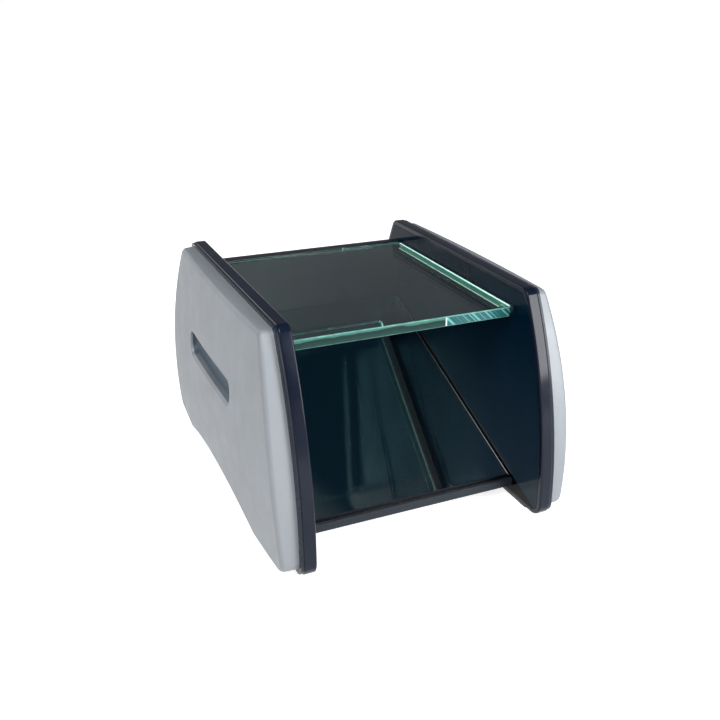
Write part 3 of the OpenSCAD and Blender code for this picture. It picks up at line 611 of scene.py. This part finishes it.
def panel_rings():
    """The rings of a panel, from its outer face round the edge to the floor of the liner's recess."""
    out_x = WALL_X + PANEL_T
    profile = [(out_x, OUTSIDE_END), (out_x, FLAT_RING)]
    profile += [(out_x - EDGE_R * (1 - math.sin(a)), EDGE_R * (1 - math.cos(a)))
                for a in np.linspace(math.pi / 2, 0, N_EDGE)]
    profile += [(WALL_X + EDGE_R * (1 - math.sin(a)), EDGE_R * (1 - math.cos(a)))
                for a in np.linspace(0, math.pi / 2, N_EDGE)]
    profile += [(WALL_X + RECESS_EASE * (1 - math.cos(a)), LINER_BORDER - RECESS_EASE * (1 - math.sin(a)))
                for a in np.linspace(0, math.pi / 2, N_RECESS)]
    profile += [(WALL_X + LINER_T, LINER_BORDER), (WALL_X + LINER_T, RECESS_END)]
    return [ring_at(x, inset) for x, inset in profile]


SIDES = ((-1, "left"), (1, "right"))
for side, word in SIDES:
    panel = loft(word + "_board", panel_rings(), panel_black, side=side)
    dress(panel, "stand", "panel_black", word + "_side_panel")

# %% [markdown]
# The cover is the part that gives this object its face: a moulded shell with a softly pillowed
# side, a rounded rim, and a long handle recess. The rings run from its foot up the side wall,
# round the rim and over the pillow to the mouth of the recess, then down into it. At the lower
# side of the mouth the wall leans outwards, which makes a sloping lip for the fingers.

# %% Covers: the pillowed face and the rim
COVER_X, COVER_CREST, CREST_H = 197.0, 40.0, 131.0
PILLOW_RZ, PILLOW_RY = 1230.0, 3900.0
COVER_BORDER, COVER_TOP, COVER_FOOT, COVER_DRAFT, COVER_ROUND = 9.0, 6.0, 5.5, 1.0, 7.0
CORNER_ADD = 7.0


def face_x(flat):
    return (COVER_X + COVER_CREST - (flat[:, 1] - CREST_H) ** 2 / (2 * PILLOW_RZ)
            - flat[:, 0] ** 2 / (2 * PILLOW_RY))


def on_face(flat, depth=0.0):
    return np.column_stack([face_x(flat) - depth, flat])


def rim(angle):
    grow = COVER_DRAFT + COVER_ROUND * (1 - math.cos(angle))
    return outline(COVER_BORDER + grow, COVER_FOOT + grow, COVER_TOP + grow, CORNER_ADD)


# %% [markdown]
# The mouth of the recess is a rounded slot. It is kept as a table of points with the direction that
# points out of the slot at each, so it can be grown or shrunk evenly. Each point of the outline is
# matched to a point of the mouth by its bearing, so the loft doesn't twist.

# %% Covers: the mouth of the recess
GRIP_W, GRIP_H, GRIP_Z, GRIP_R, GRIP_DEPTH = 222.0, 35.0, 205.0, 14.0, 27.0
GRIP_LIP, GRIP_LIP_D, GRIP_EASE = math.radians(32), 10.0, 1.4
N_STRAIGHT, N_MOUTH_CORNER = 60, 24
STRETCH_OUTLINE, STRETCH_MOUTH = 2.1, 4.6


def mouth_table():
    """The mouth, once round from the middle of its lower side: the way along, and each point's row."""
    w, h, r = GRIP_W / 2, GRIP_H / 2, GRIP_R
    rows = []
    straights = (((0, -h), (w - r, -h), (0, -1)), ((w, -h + r), (w, h - r), (1, 0)),
                 ((w - r, h), (-w + r, h), (0, 1)), ((-w, h - r), (-w, -h + r), (-1, 0)),
                 ((-w + r, -h), (0, -h), (0, -1)))
    for start, end, out in straights:
        for t in np.linspace(0, 1, N_STRAIGHT):
            rows.append([start[0] + (end[0] - start[0]) * t, start[1] + (end[1] - start[1]) * t, *out])
        if end != straights[-1][1]:
            first = math.atan2(out[1], out[0])
            centre = (end[0] - r * out[0], end[1] - r * out[1])
            for a in np.linspace(first, first + math.pi / 2, N_MOUTH_CORNER)[1:-1]:
                away = (math.cos(a), math.sin(a))
                rows.append([centre[0] + r * away[0], centre[1] + r * away[1], *away])
    rows = np.array(rows)
    step = np.linalg.norm(np.diff(rows[:, :2], axis=0), axis=1)
    return np.concatenate([[0], np.cumsum(step)]), rows


def match_mouth(core):
    """Points of the mouth, and their outward directions, for the points of an outline."""
    along, rows = mouth_table()
    bearing = np.unwrap(np.arctan2((core[:, 1] - GRIP_Z) * STRETCH_OUTLINE, core[:, 0]))
    of_mouth = np.unwrap(np.arctan2(rows[:, 1] * STRETCH_MOUTH, rows[:, 0]))
    at = np.interp(bearing, of_mouth, along)
    return np.column_stack([np.interp(at, along, rows[:, k]) for k in range(4)])


# %% Covers: rings from the foot to the floor of the recess
N_RIM, N_PILLOW, N_EASE, N_FLOOR = 9, 13, 6, 6
WALL_DEPTHS = (4.0, 6.0, 8.0, 9.5, 11.0, 13.0, 17.0, 21.0)
GRIP_FLOOR_R, GRIP_FLOOR_END = 4.0, 13.0


def cover_rings():
    foot = outline(COVER_BORDER, COVER_FOOT, COVER_TOP, CORNER_ADD)
    rings = [np.column_stack([np.full(len(foot), COVER_X), foot])]
    for angle in np.linspace(0, math.pi / 2, N_RIM):
        rings.append(on_face(rim(angle), COVER_ROUND * (1 - math.sin(angle))))
    core = rim(math.pi / 2)
    slot = match_mouth(core)
    lean = np.clip(-slot[:, 3], 0, 1) ** 2

    def mouth_ring(out, depth):
        flat = slot[:, :2] + slot[:, 2:] * out
        drop = lean * max(0.0, GRIP_LIP_D - depth) * math.tan(GRIP_LIP)
        return np.column_stack([flat[:, 0], flat[:, 1] + GRIP_Z - drop])

    edge = mouth_ring(GRIP_EASE, 0.0)
    for t in np.linspace(0, 1, N_PILLOW)[1:]:
        rings.append(on_face(core + (edge - core) * t))
    for angle in np.linspace(0, math.pi / 2, N_EASE)[1:]:
        depth = GRIP_EASE * (1 - math.cos(angle))
        rings.append(on_face(mouth_ring(GRIP_EASE * (1 - math.sin(angle)), depth), depth))
    for depth in WALL_DEPTHS:
        rings.append(on_face(mouth_ring(0.0, depth), depth))
    floor_x = COVER_X + COVER_CREST - (GRIP_Z - CREST_H) ** 2 / (2 * PILLOW_RZ) - GRIP_DEPTH
    for angle in np.linspace(0, math.pi / 2, N_FLOOR):
        flat = mouth_ring(-GRIP_FLOOR_R * (1 - math.cos(angle)), GRIP_DEPTH)
        x = floor_x + GRIP_FLOOR_R * (1 - math.sin(angle))
        rings.append(np.column_stack([np.full(len(flat), x), flat]))
    flat = mouth_ring(-GRIP_FLOOR_END, GRIP_DEPTH)
    rings.append(np.column_stack([np.full(len(flat), floor_x), flat]))
    return rings


# %% [markdown]
# The rings make the skin. A solidify modifier gives it a wall inwards, and the faces from the first
# ring of the recess's wall inwards get the recess finish, with its painted light and shade.

# %% Covers: skin, wall and finish
COVER_WALL = 3.5
RECESS_FROM_RING = 1 + N_RIM + N_PILLOW - 1 + N_EASE - 1


def make_cover(side, word):
    rings = cover_rings()
    piece = loft(word + "_shell", rings, silver, recess_grey_painted_shade, side=side, close_start=False)
    for face in piece.data.polygons[RECESS_FROM_RING * len(rings[0]):]:
        face.material_index = 1
    wall = piece.modifiers.new("wall", "SOLIDIFY")
    wall.thickness = COVER_WALL * MM
    wall.offset = -1
    apply_modifiers(piece)
    return dress(piece, "stand", "cover_silver", word + "_cover")


for side, word in SIDES:
    make_cover(side, word)

# %% [markdown]
# Panel and cover don't touch: a spacer sheet keeps them apart, and its eased edge is the fine grey
# line between black and silver.

# %% Spacers
for _, word in SIDES:
    dress_eased(word + "_spacer_sheet", word + "_spacer", 0.8, spacer_dark, "spacer_grey")

# %% [markdown]
# The glass is lofted from the lower face to the upper one. Its corners are cut at 45 degrees, and a
# narrow arris runs round above and below. Each face takes its finish from the way it looks: up
# and down is clear, the front and back are polished, and the sides are ground.

# %% Glass plate
GLASS_CUT, ARRIS, CUT_LESS = 5.0, 1.4, 0.4
CLEAR, POLISHED, GROUND, ON_ARRIS = range(4)
FACES_THERE, LEANS_THERE = 0.9, 0.3


def glass_ring(z, inset):
    x, y = glass_high[0] / MM - inset, glass_high[1] / MM - inset
    cut = GLASS_CUT - CUT_LESS * inset
    corners = [(x, -y + cut), (x, y - cut), (x - cut, y), (-x + cut, y),
               (-x, y - cut), (-x, -y + cut), (-x + cut, -y), (x - cut, -y)]
    return np.array([(px, py, z) for px, py in corners])


def glass_finish_of(normal):
    x, _, z = (abs(v) for v in normal)
    if z > FACES_THERE:
        return CLEAR
    if x > FACES_THERE:
        return GROUND
    return ON_ARRIS if z > LEANS_THERE else POLISHED


def make_glass_plate():
    low_z, high_z = glass_low[2] / MM, glass_high[2] / MM
    rings = [glass_ring(low_z, ARRIS), glass_ring(low_z + ARRIS, 0), glass_ring(high_z - ARRIS, 0),
             glass_ring(high_z, ARRIS)]
    piece = loft("glass_slab", rings, plate_glass, polished_edge, ground_edge, glass_arris)
    for face in piece.data.polygons:
        face.material_index = glass_finish_of(face.normal)
    return dress(piece, "stand", "clear_glass", "glass_plate")


make_glass_plate()

# %% [markdown]
# The mirror and its board, the battens, the ledges under the glass and the back panel are plain bars
# and boards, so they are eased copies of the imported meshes.

# %% Boards and battens
PLAIN = (
    ("mirror_back_board", "mirror_board", 0.8, board_black, "board_black"),
    ("left_batten", "left_mirror_batten", 1.0, board_black, "board_black"),
    ("right_batten", "right_mirror_batten", 1.0, board_black, "board_black"),
    ("back_board", "back_panel", 1.2, board_black, "board_black"),
)
for row in PLAIN:
    dress_eased(*row)

# %% [markdown]
# A ledge's edges catch the light of the lamps, so its rounds get a painted highlight, brighter than its
# faces.

# %% Ledges
for _, word in SIDES:
    dress_eased(word + "_glass_bar", word + "_glass_ledge", 0.8, ledge_satin, "ledge_metal",
                edge_finish=ledge_edge)

# %% [markdown]
# The mirror's arris is one flat cut. It gets the dark finish first, and then the ground one with its
# painted highlight along the two sides, where the cut leans sideways.

# %% Mirror
mirror_sheet = eased_copy("mirror_sheet", "mirror", 2.0, mirror_face, mirror_front, steps=1)
mirror_sheet.data.materials.append(mirror_painted_highlight)
for face in mirror_sheet.data.polygons:
    if face.material_index == 1 and abs(face.normal.x) > LEANS_THERE:
        face.material_index = 2
dress(mirror_sheet, "stand", "mirror_silver", "mirror")

# %% [markdown]
# The front rail is one profile along a line, so it is made with Geometry Nodes: the profile is a wire
# loop, its corners are filleted, and it is swept from one panel to the other. The profile stands
# in front of the mirror with a lip, and carries the board on a sloping seat behind the lip.

# %% Helpers for geometry trees
def new_tree(name, *inputs):
    """A tree that takes geometry, the inputs named here and a finish; returns it and its inputs."""
    tree = bpy.data.node_groups.new(name, "GeometryNodeTree")
    for title, kind in (("Geometry", "Geometry"), *inputs, ("Finish", "Material")):
        tree.interface.new_socket(title, in_out="INPUT", socket_type="NodeSocket" + kind)
    tree.interface.new_socket("Geometry", in_out="OUTPUT", socket_type="NodeSocketGeometry")
    return tree, tree.nodes.new("NodeGroupInput").outputs


def close_tree(tree, given, geometry):
    """Make copies real, give them the finish, and hand them out of the tree."""
    whole = add_node(tree, "GeometryNodeRealizeInstances", {"Geometry": geometry})
    done = add_node(tree, "GeometryNodeSetMaterial", {"Geometry": whole, "Material": given["Finish"]})
    feed(tree, tree.nodes.new("NodeGroupOutput"), {"Geometry": done})
    return tree


def run_tree(piece, tree, **values):
    """Put a tree on a piece, set its inputs by the sockets' identifiers, and apply it."""
    modifier = piece.modifiers.new(tree.name, "NODES")
    modifier.node_group = tree
    for item in tree.interface.items_tree:
        title = item.name.replace(" ", "_").lower()
        if item.in_out == "INPUT" and title in values:
            modifier[item.identifier] = values[title]
    return apply_modifiers(piece)


# %% Front rail
RAIL_PROFILE = ((-219.0, 19.5), (-219.0, 33.0), (-213.5, 33.0), (-213.5, 23.41), (-193.0, 31.28),
                (-193.0, 19.5))
RAIL_EASE, RAIL_EASE_STEPS = 0.9, 4


def make_sweep_tree():
    tree, given = new_tree("profile_along_a_line", ("Length", "Float"), ("Edge Radius", "Float"))
    loop = add_node(tree, "GeometryNodeMeshToCurve", {"Mesh": given["Geometry"]})
    soft = add_node(tree, "GeometryNodeFilletCurve", {
        "Curve": loop, "Count": RAIL_EASE_STEPS, "Radius": given["Edge Radius"], "Limit Radius": True},
        mode="POLY")
    end = add_node(tree, "ShaderNodeCombineXYZ", {"Z": given["Length"]})
    line = add_node(tree, "GeometryNodeCurvePrimitiveLine", {"Start": (0, 0, 0), "End": end})
    bar = add_node(tree, "GeometryNodeCurveToMesh",
                   {"Curve": line, "Profile Curve": soft, "Fill Caps": True})
    return close_tree(tree, given, bar)


def make_rail():
    count = len(RAIL_PROFILE)
    wire = bpy.data.meshes.new("rail_profile")
    edges = [(k, (k + 1) % count) for k in range(count)]
    wire.from_pydata([(y * MM, z * MM, 0) for y, z in RAIL_PROFILE], edges, [])
    draft = add_object("rail_draft", wire)
    run_tree(draft, make_sweep_tree(), length=2 * WALL_X * MM, edge_radius=RAIL_EASE * MM,
             finish=rail_dark)
    mesh = draft.data
    turned = [(v.co.z - WALL_X * MM, v.co.x, v.co.y) for v in mesh.vertices]
    for vertex, place in zip(mesh.vertices, turned):
        vertex.co = place
    work = opened(mesh)
    bpy.data.objects.remove(draft)
    bmesh.ops.remove_doubles(work, verts=work.verts, dist=MERGE_WITHIN)
    bmesh.ops.recalc_face_normals(work, faces=work.faces)
    return dress(show("rail_bar", mesh, [rail_dark], work), "stand", "rail_black", "front_rail")


rail = make_rail()
print("rail from", [round(v, 4) for v in rail.bound_box[0]], "to", [round(v, 4) for v in rail.bound_box[6]])

# %% [markdown]
# Screws, rubber feet and lamps repeat, so each is modelled once and a second tree sets it out in
# rows. The tree takes the number of copies and the step in two directions, the first place,
# and the turn of the part. Realize Instances makes real meshes of the copies.

# %% Tree for rows
def make_rows_tree():
    tree, given = new_tree(
        "set_out_in_rows", ("Across", "Int"), ("Step Across", "Vector"), ("Up", "Int"),
        ("Step Up", "Vector"), ("First Place", "Vector"), ("Turn", "Rotation"))
    row = add_node(tree, "GeometryNodeMeshLine", {
        "Count": given["Across"], "Start Location": given["First Place"], "Offset": given["Step Across"]},
        mode="OFFSET")
    column = add_node(tree, "GeometryNodeMeshLine", {
        "Count": given["Up"], "Offset": given["Step Up"]}, mode="OFFSET")
    grid = add_node(tree, "GeometryNodeInstanceOnPoints", {"Points": row, "Instance": column})
    spots = add_node(tree, "GeometryNodeRealizeInstances", {"Geometry": grid})
    parts = add_node(tree, "GeometryNodeInstanceOnPoints", {"Points": spots, "Instance": given["Geometry"],
                                                            "Rotation": given["Turn"]})
    return close_tree(tree, given, parts)


rows_tree = make_rows_tree()


def metres(place):
    return [v * MM for v in place]


def in_rows(piece, slot, node, material, first, across=1, step_across=(0, 0, 0), up=1, step_up=(0, 0, 0),
            turn=(0, 0, 0)):
    run_tree(piece, rows_tree, across=across, step_across=metres(step_across), up=up,
             step_up=metres(step_up), first_place=metres(first), turn=turn, finish=material)
    return dress(piece, "stand", slot, node)


# %% [markdown]
# A pan-head screw is turned round its axis, with a cross pressed into its head. Every ring has one
# point for each corner of the cross and one between, so the round rings run into the cross cleanly.

# %% One small screw
CROSS_ARM, CROSS_REACH = 0.36, 1.5
POINT_R, POINT_L, SHANK_R, SHANK_TOP = 0.2, 1.6, 1.5, -0.05
HEAD = ((2.75, 0), (2.85, 0.1), (2.85, 0.9), (2.7, 1.3), (2.35, 1.6), (1.9, 1.76))
CROSS_TOP, CROSS_FLOOR, CROSS_SHRINK = 1.78, 0.9, 0.75


def cross_ring(z, scale=1.0):
    a, b = CROSS_ARM * scale, CROSS_REACH * scale
    corners = [(b, -a), (b, a), (a, a), (a, b), (-a, b), (-a, a),
               (-b, a), (-b, -a), (-a, -a), (-a, -b), (a, -b), (a, -a)]
    ring = []
    for k, (x, y) in enumerate(corners):
        following = corners[(k + 1) % len(corners)]
        ring += [(x, y, z), ((x + following[0]) / 2, (y + following[1]) / 2, z)]
    return ring


def round_ring(radius, z):
    return [(radius * x / math.hypot(x, y), radius * y / math.hypot(x, y), z) for x, y, _ in cross_ring(0)]


def new_screw(name, length):
    rings = [round_ring(POINT_R, -length), round_ring(SHANK_R, -length + POINT_L),
             round_ring(SHANK_R, SHANK_TOP)]
    rings += [round_ring(radius, z) for radius, z in HEAD]
    rings += [cross_ring(CROSS_TOP), cross_ring(CROSS_FLOOR, CROSS_SHRINK)]
    return loft(name, rings, zinc_steel)


# %% Screws of the connector plate and of the light driver
in_rows(new_screw("plate_fasteners", 11.0), "screw_steel", "plate_screws", zinc_steel,
        first=(46, 207, 42), across=2, step_across=(88, 0, 0), up=2, step_up=(0, 0, 44),
        turn=(-math.pi / 2, 0, 0))
in_rows(new_screw("driver_fasteners", 12.0), "screw_steel", "driver_screws", zinc_steel,
        first=(-131, 186, 64), across=2, step_across=(122, 0, 0), turn=(math.pi / 2, 0, 0))

# %% [markdown]
# Each panel stands on two rubber pads. A pad is a rounded strip whose lower edge is chamfered.

# %% Rubber feet
FOOT_W, FOOT_L, FOOT_T, FOOT_R, FOOT_CHAMFER = 13.0, 66.0, 4.0, 4.0, 0.5
FOOT_OUT_X, FOOT_OUT_Y, N_FOOT_CORNER = 190.5, 256.5, 7


def foot_ring(z, inset):
    r = FOOT_R - inset
    ring = []
    for k, (sx, sy) in enumerate(((1, 1), (-1, 1), (-1, -1), (1, -1))):
        cx, cy = sx * (FOOT_W / 2 - FOOT_R), sy * (FOOT_L / 2 - FOOT_R)
        for a in np.linspace(k * math.pi / 2, (k + 1) * math.pi / 2, N_FOOT_CORNER):
            ring.append((cx + r * math.cos(a), cy + r * math.sin(a), z))
    return ring


foot_rings = [foot_ring(0, FOOT_CHAMFER), foot_ring(FOOT_CHAMFER, 0), foot_ring(FOOT_T, 0)]
foot_x, foot_y = FOOT_OUT_X - FOOT_W / 2, FOOT_OUT_Y - FOOT_L / 2
in_rows(loft("foot_pads", foot_rings, rubber_black), "rubber_black", "rubber_feet", rubber_black,
        first=(-foot_x, -foot_y, 0), across=2, step_across=(2 * foot_x, 0, 0),
        up=2, step_up=(0, 2 * foot_y, 0))

# %% [markdown]
# Behind each diffuser runs a strip of lamps: a white board with a row of small square yellow lamps,
# each with a sunken window. On the real object they light the glass through its ground edge.

# %% One lamp
LAMP_SIZE, LAMP_T = 3.5, 1.2
WINDOW_PART, WINDOW_FLOOR_PART, WINDOW_DEPTH = 0.74, 0.66, 0.25
lamp_yellow = finish("lamp_window", linear(226, 206, 120), 0.3, spread=0.05)


def lamp_ring(side, half, out):
    x = -side * out
    return [(x, -half, -half), (x, half, -half), (x, half, half), (x, -half, half)]


def new_lamp(name, side):
    half = LAMP_SIZE / 2
    rings = [lamp_ring(side, half, 0), lamp_ring(side, half, LAMP_T),
             lamp_ring(side, half * WINDOW_PART, LAMP_T),
             lamp_ring(side, half * WINDOW_FLOOR_PART, LAMP_T - WINDOW_DEPTH)]
    return loft(name, rings, lamp_yellow)


# %% Lamp strips
LAMP_PITCH, LAMPS, LAMP_Z, LAMP_X = 14.0, 24, 295.5, 184.5
STRIP_T, STRIP_HALF_H, STRIP_HALF_L = 1.5, 4, 165.5


def strip_ring(side, y):
    inner, outer = side * LAMP_X, side * LAMP_X + side * STRIP_T
    low_z, high_z = LAMP_Z - STRIP_HALF_H, LAMP_Z + STRIP_HALF_H
    return [(inner, y, low_z), (outer, y, low_z), (outer, y, high_z), (inner, y, high_z)]


for side, word in SIDES:
    ends = [strip_ring(side, -STRIP_HALF_L), strip_ring(side, STRIP_HALF_L)]
    board = loft(word + "_lamp_board", ends, lamp_board)
    dress(board, "stand", "lamp_board", word + "_light_strip")
    in_rows(new_lamp(word + "_lamps", side), "lamp_board", word + "_light_strip", lamp_yellow,
            first=(side * LAMP_X, -LAMP_PITCH * (LAMPS - 1) / 2, LAMP_Z), up=LAMPS,
            step_up=(0, LAMP_PITCH, 0))

# %% [markdown]
# The rear carries the connector plate with the power inlet and the rocker switch, and inside sits the
# light driver. They are eased copies too, with rounds as small as moulded parts have. The rocker
# gets its two common marks, a stroke for on and a ring for off, printed white on its wings, and
# they ride with it.

# %% Connector plate, inlet, switch and driver
EASE_SMALL_FROM = 3.0
SMALL = (
    ("socket_plate", "connector_plate", 0.4, anodised_black, "plate_black", "stand"),
    ("inlet_body", "power_inlet", 0.5, device_black, "device_black", "stand"),
    ("inlet_blades", "inlet_pins", 0.35, brass, "pin_brass", "stand"),
    ("switch_frame", "switch_housing", 0.4, device_black, "device_black", "stand"),
    ("rocker_button", "switch_rocker", 0.5, rocker_gloss, "rocker_black", "rocker"),
    ("driver_case", "light_driver", 1.0, bare_aluminium, "driver_case", "stand"),
)
for row in SMALL:
    dress_eased(*row, longer_than_mm=EASE_SMALL_FROM)

# %% Marks on the rocker
PIVOT = np.array((111.0, 206.5, 64.0))
REST_TILT, WING_TILT = math.radians(-8), math.radians(8)
RIDGE, MARK_UP, MARK_T, MARK_SINK = 5.5, 4.6, 0.06, 0.05
STROKE_W, STROKE_L, RING_R, RING_HOLE_R, RING_POINTS = 0.4, 3.0, 1.5, 1.1, 32


def on_wing(x, along, lift, wing):
    """A point on the upper (+1) or lower (-1) wing of the rocker: along the wing from its ridge."""
    y = RIDGE + along * math.sin(WING_TILT) + lift
    z = wing * along * math.cos(WING_TILT)
    turned_y = y * math.cos(REST_TILT) - z * math.sin(REST_TILT)
    turned_z = y * math.sin(REST_TILT) + z * math.cos(REST_TILT)
    return PIVOT + np.array((x, turned_y, turned_z))


def mark_ring(flat, lift, wing):
    return [on_wing(x, MARK_UP + z, lift, wing) for x, z in flat]


def make_mark(name, wing, outer, inner=None):
    rings = [mark_ring(outer, -MARK_SINK, wing), mark_ring(outer, MARK_T, wing)]
    if inner:
        rings += [mark_ring(inner, MARK_T, wing), mark_ring(inner, -MARK_SINK, wing)]
    mark = loft(name, rings, mark_white, close_start=inner is None, close_end=inner is None)
    return dress(mark, "rocker", "rocker_black")


def circle(radius):
    turns = np.linspace(0, 2 * math.pi, RING_POINTS + 1)[:-1]
    return [(radius * math.cos(a), radius * math.sin(a)) for a in turns]


half_w, half_l = STROKE_W / 2, STROKE_L / 2
make_mark("mark_on", 1, [(half_w, -half_l), (half_w, half_l), (-half_w, half_l), (-half_w, -half_l)])
make_mark("mark_off", -1, circle(RING_R), circle(RING_HOLE_R))

# %% [markdown]
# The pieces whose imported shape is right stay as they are, and only get their finish.

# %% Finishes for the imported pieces
KEPT = {
    "left_liner": liner_gloss, "right_liner": liner_gloss, "glass_pads": pad_milky_painted_glow,
    "left_diffuser": opal, "right_diffuser": opal, "cover_screws": zinc_steel,
    "frame_screws": zinc_steel, "ledge_screws": zinc_steel, "batten_screws": zinc_steel,
}
for name, material in KEPT.items():
    for slot_of_node in nodes[name].material_slots:
        slot_of_node.material = material
print("finished", len(KEPT), "packed pieces")

# %% [markdown]
# The photograph has a plain white ground. The floor is white to the camera, to glass and to gloss,
# and under the object it keeps a soft shadow: its own white stops a little short of full, and the
# light brings it there where nothing is in the way. The lamps don't reach far out, so there it
# glows a little more.

# %% Helper: what the camera, gloss or glass sees
def seen_directly(tree):
    path = tree.nodes.new("ShaderNodeLightPath").outputs
    both = maths(tree, "MAXIMUM", path["Is Camera Ray"], path["Is Glossy Ray"])
    return maths(tree, "MAXIMUM", both, path["Is Transmission Ray"])


# %% Floor
FLOOR_GLOW, FLOOR_REACH, FLOOR_GREY = 0.83, 60.0, 0.8
FAR_FROM, FAR_OVER, FAR_ADDS = 1.0, 4.0, 0.1


def make_floor():
    r = FLOOR_REACH
    plane = bpy.data.meshes.new("floor")
    plane.from_pydata([(-r, -r, 0), (r, -r, 0), (r, r, 0), (-r, r, 0)], [], [(0, 1, 2, 3)])
    floor = add_object("floor", plane)
    material, tree, shader = new_material("pale_floor")
    away = add_node(tree, "ShaderNodeVectorMath", {0: place_on(tree)}, output="Value", operation="LENGTH")
    far = maths(tree, "DIVIDE", maths(tree, "SUBTRACT", away, FAR_FROM), FAR_OVER, clamp=True)
    level = maths(tree, "MULTIPLY_ADD", far, FAR_ADDS, FLOOR_GLOW)
    feed(tree, shader, {"Base Color": grey(FLOOR_GREY), "Roughness": 1.0, "Specular IOR Level": 0.0,
                        "Emission Color": grey(1),
                        "Emission Strength": maths(tree, "MULTIPLY", seen_directly(tree), level)})
    floor.data.materials.append(material)
    print("floor glows", FLOOR_GLOW, "and far out", FLOOR_GLOW + FAR_ADDS)


make_floor()

# %% [markdown]
# The world is a studio seen from the middle: white at and below the horizon, grey on the walls, dark
# in a ring high up, and a little lighter straight overhead. The dark ring is what the mirror and
# the glossy liners reflect, as in the photograph. Each stop is a height, as the sine of its
# angle over the horizon, and a colour.

# %% World
SKY = ((0.0, (1, 1, 1, 1)), (0.05, (0.80, 0.81, 0.83, 1)), (0.13, (0.50, 0.51, 0.52, 1)),
       (0.22, (0.155, 0.162, 0.175, 1)), (0.60, (0.125, 0.132, 0.15, 1)), (0.80, (0.006, 0.013, 0.02, 1)),
       (0.92, (0.004, 0.012, 0.021, 1)), (1.0, (0.2, 0.21, 0.22, 1)))


def make_world():
    world = bpy.data.worlds.new("studio")
    bpy.context.scene.world = world
    world.use_nodes = True
    tree = world.node_tree
    height = axes_of(tree, place_on(tree, "Generated"))["Z"]
    feed(tree, tree.nodes["Background"], {"Color": bands_node(tree, height, SKY), "Strength": 1.0})
    print("studio of", len(SKY), "stops")


make_world()

# %% [markdown]
# Soft boxes stand in front, to the side, above and behind, as in a catalogue studio. The front one is
# the strongest, because it brings out the rims of the covers. The top one stands on the viewer's
# side, where the mirror doesn't show it, and the weak rear one keeps the back from going black.

# %% Lamps
def soft_box(name, at, towards, size, power):
    lamp = bpy.data.lights.new(name, "AREA")
    lamp.shape = "RECTANGLE"
    lamp.size, lamp.size_y = size
    lamp.energy = power
    holder = add_object(name, lamp)
    holder.location = at
    holder.rotation_euler = (Vector(towards) - Vector(at)).to_track_quat("-Z", "Y").to_euler()
    print(name, power, "W")


soft_box("front_box", at=(1.4, -2.1, 1.0), towards=(0, 0, 0.15), size=(1.4, 1.2), power=66)
soft_box("left_box", at=(-2.3, -0.6, 1.2), towards=(0, 0, 0.15), size=(1.2, 1.2), power=8)
soft_box("top_box", at=(-0.9, -1.3, 2.2), towards=(0, 0, 0.2), size=(1.4, 1.4), power=48)
soft_box("rear_box", at=(-1.2, 2.2, 1.3), towards=(0, 0, 0.15), size=(1.2, 1.2), power=10)

bpy.context.scene.view_settings.view_transform = "Standard"
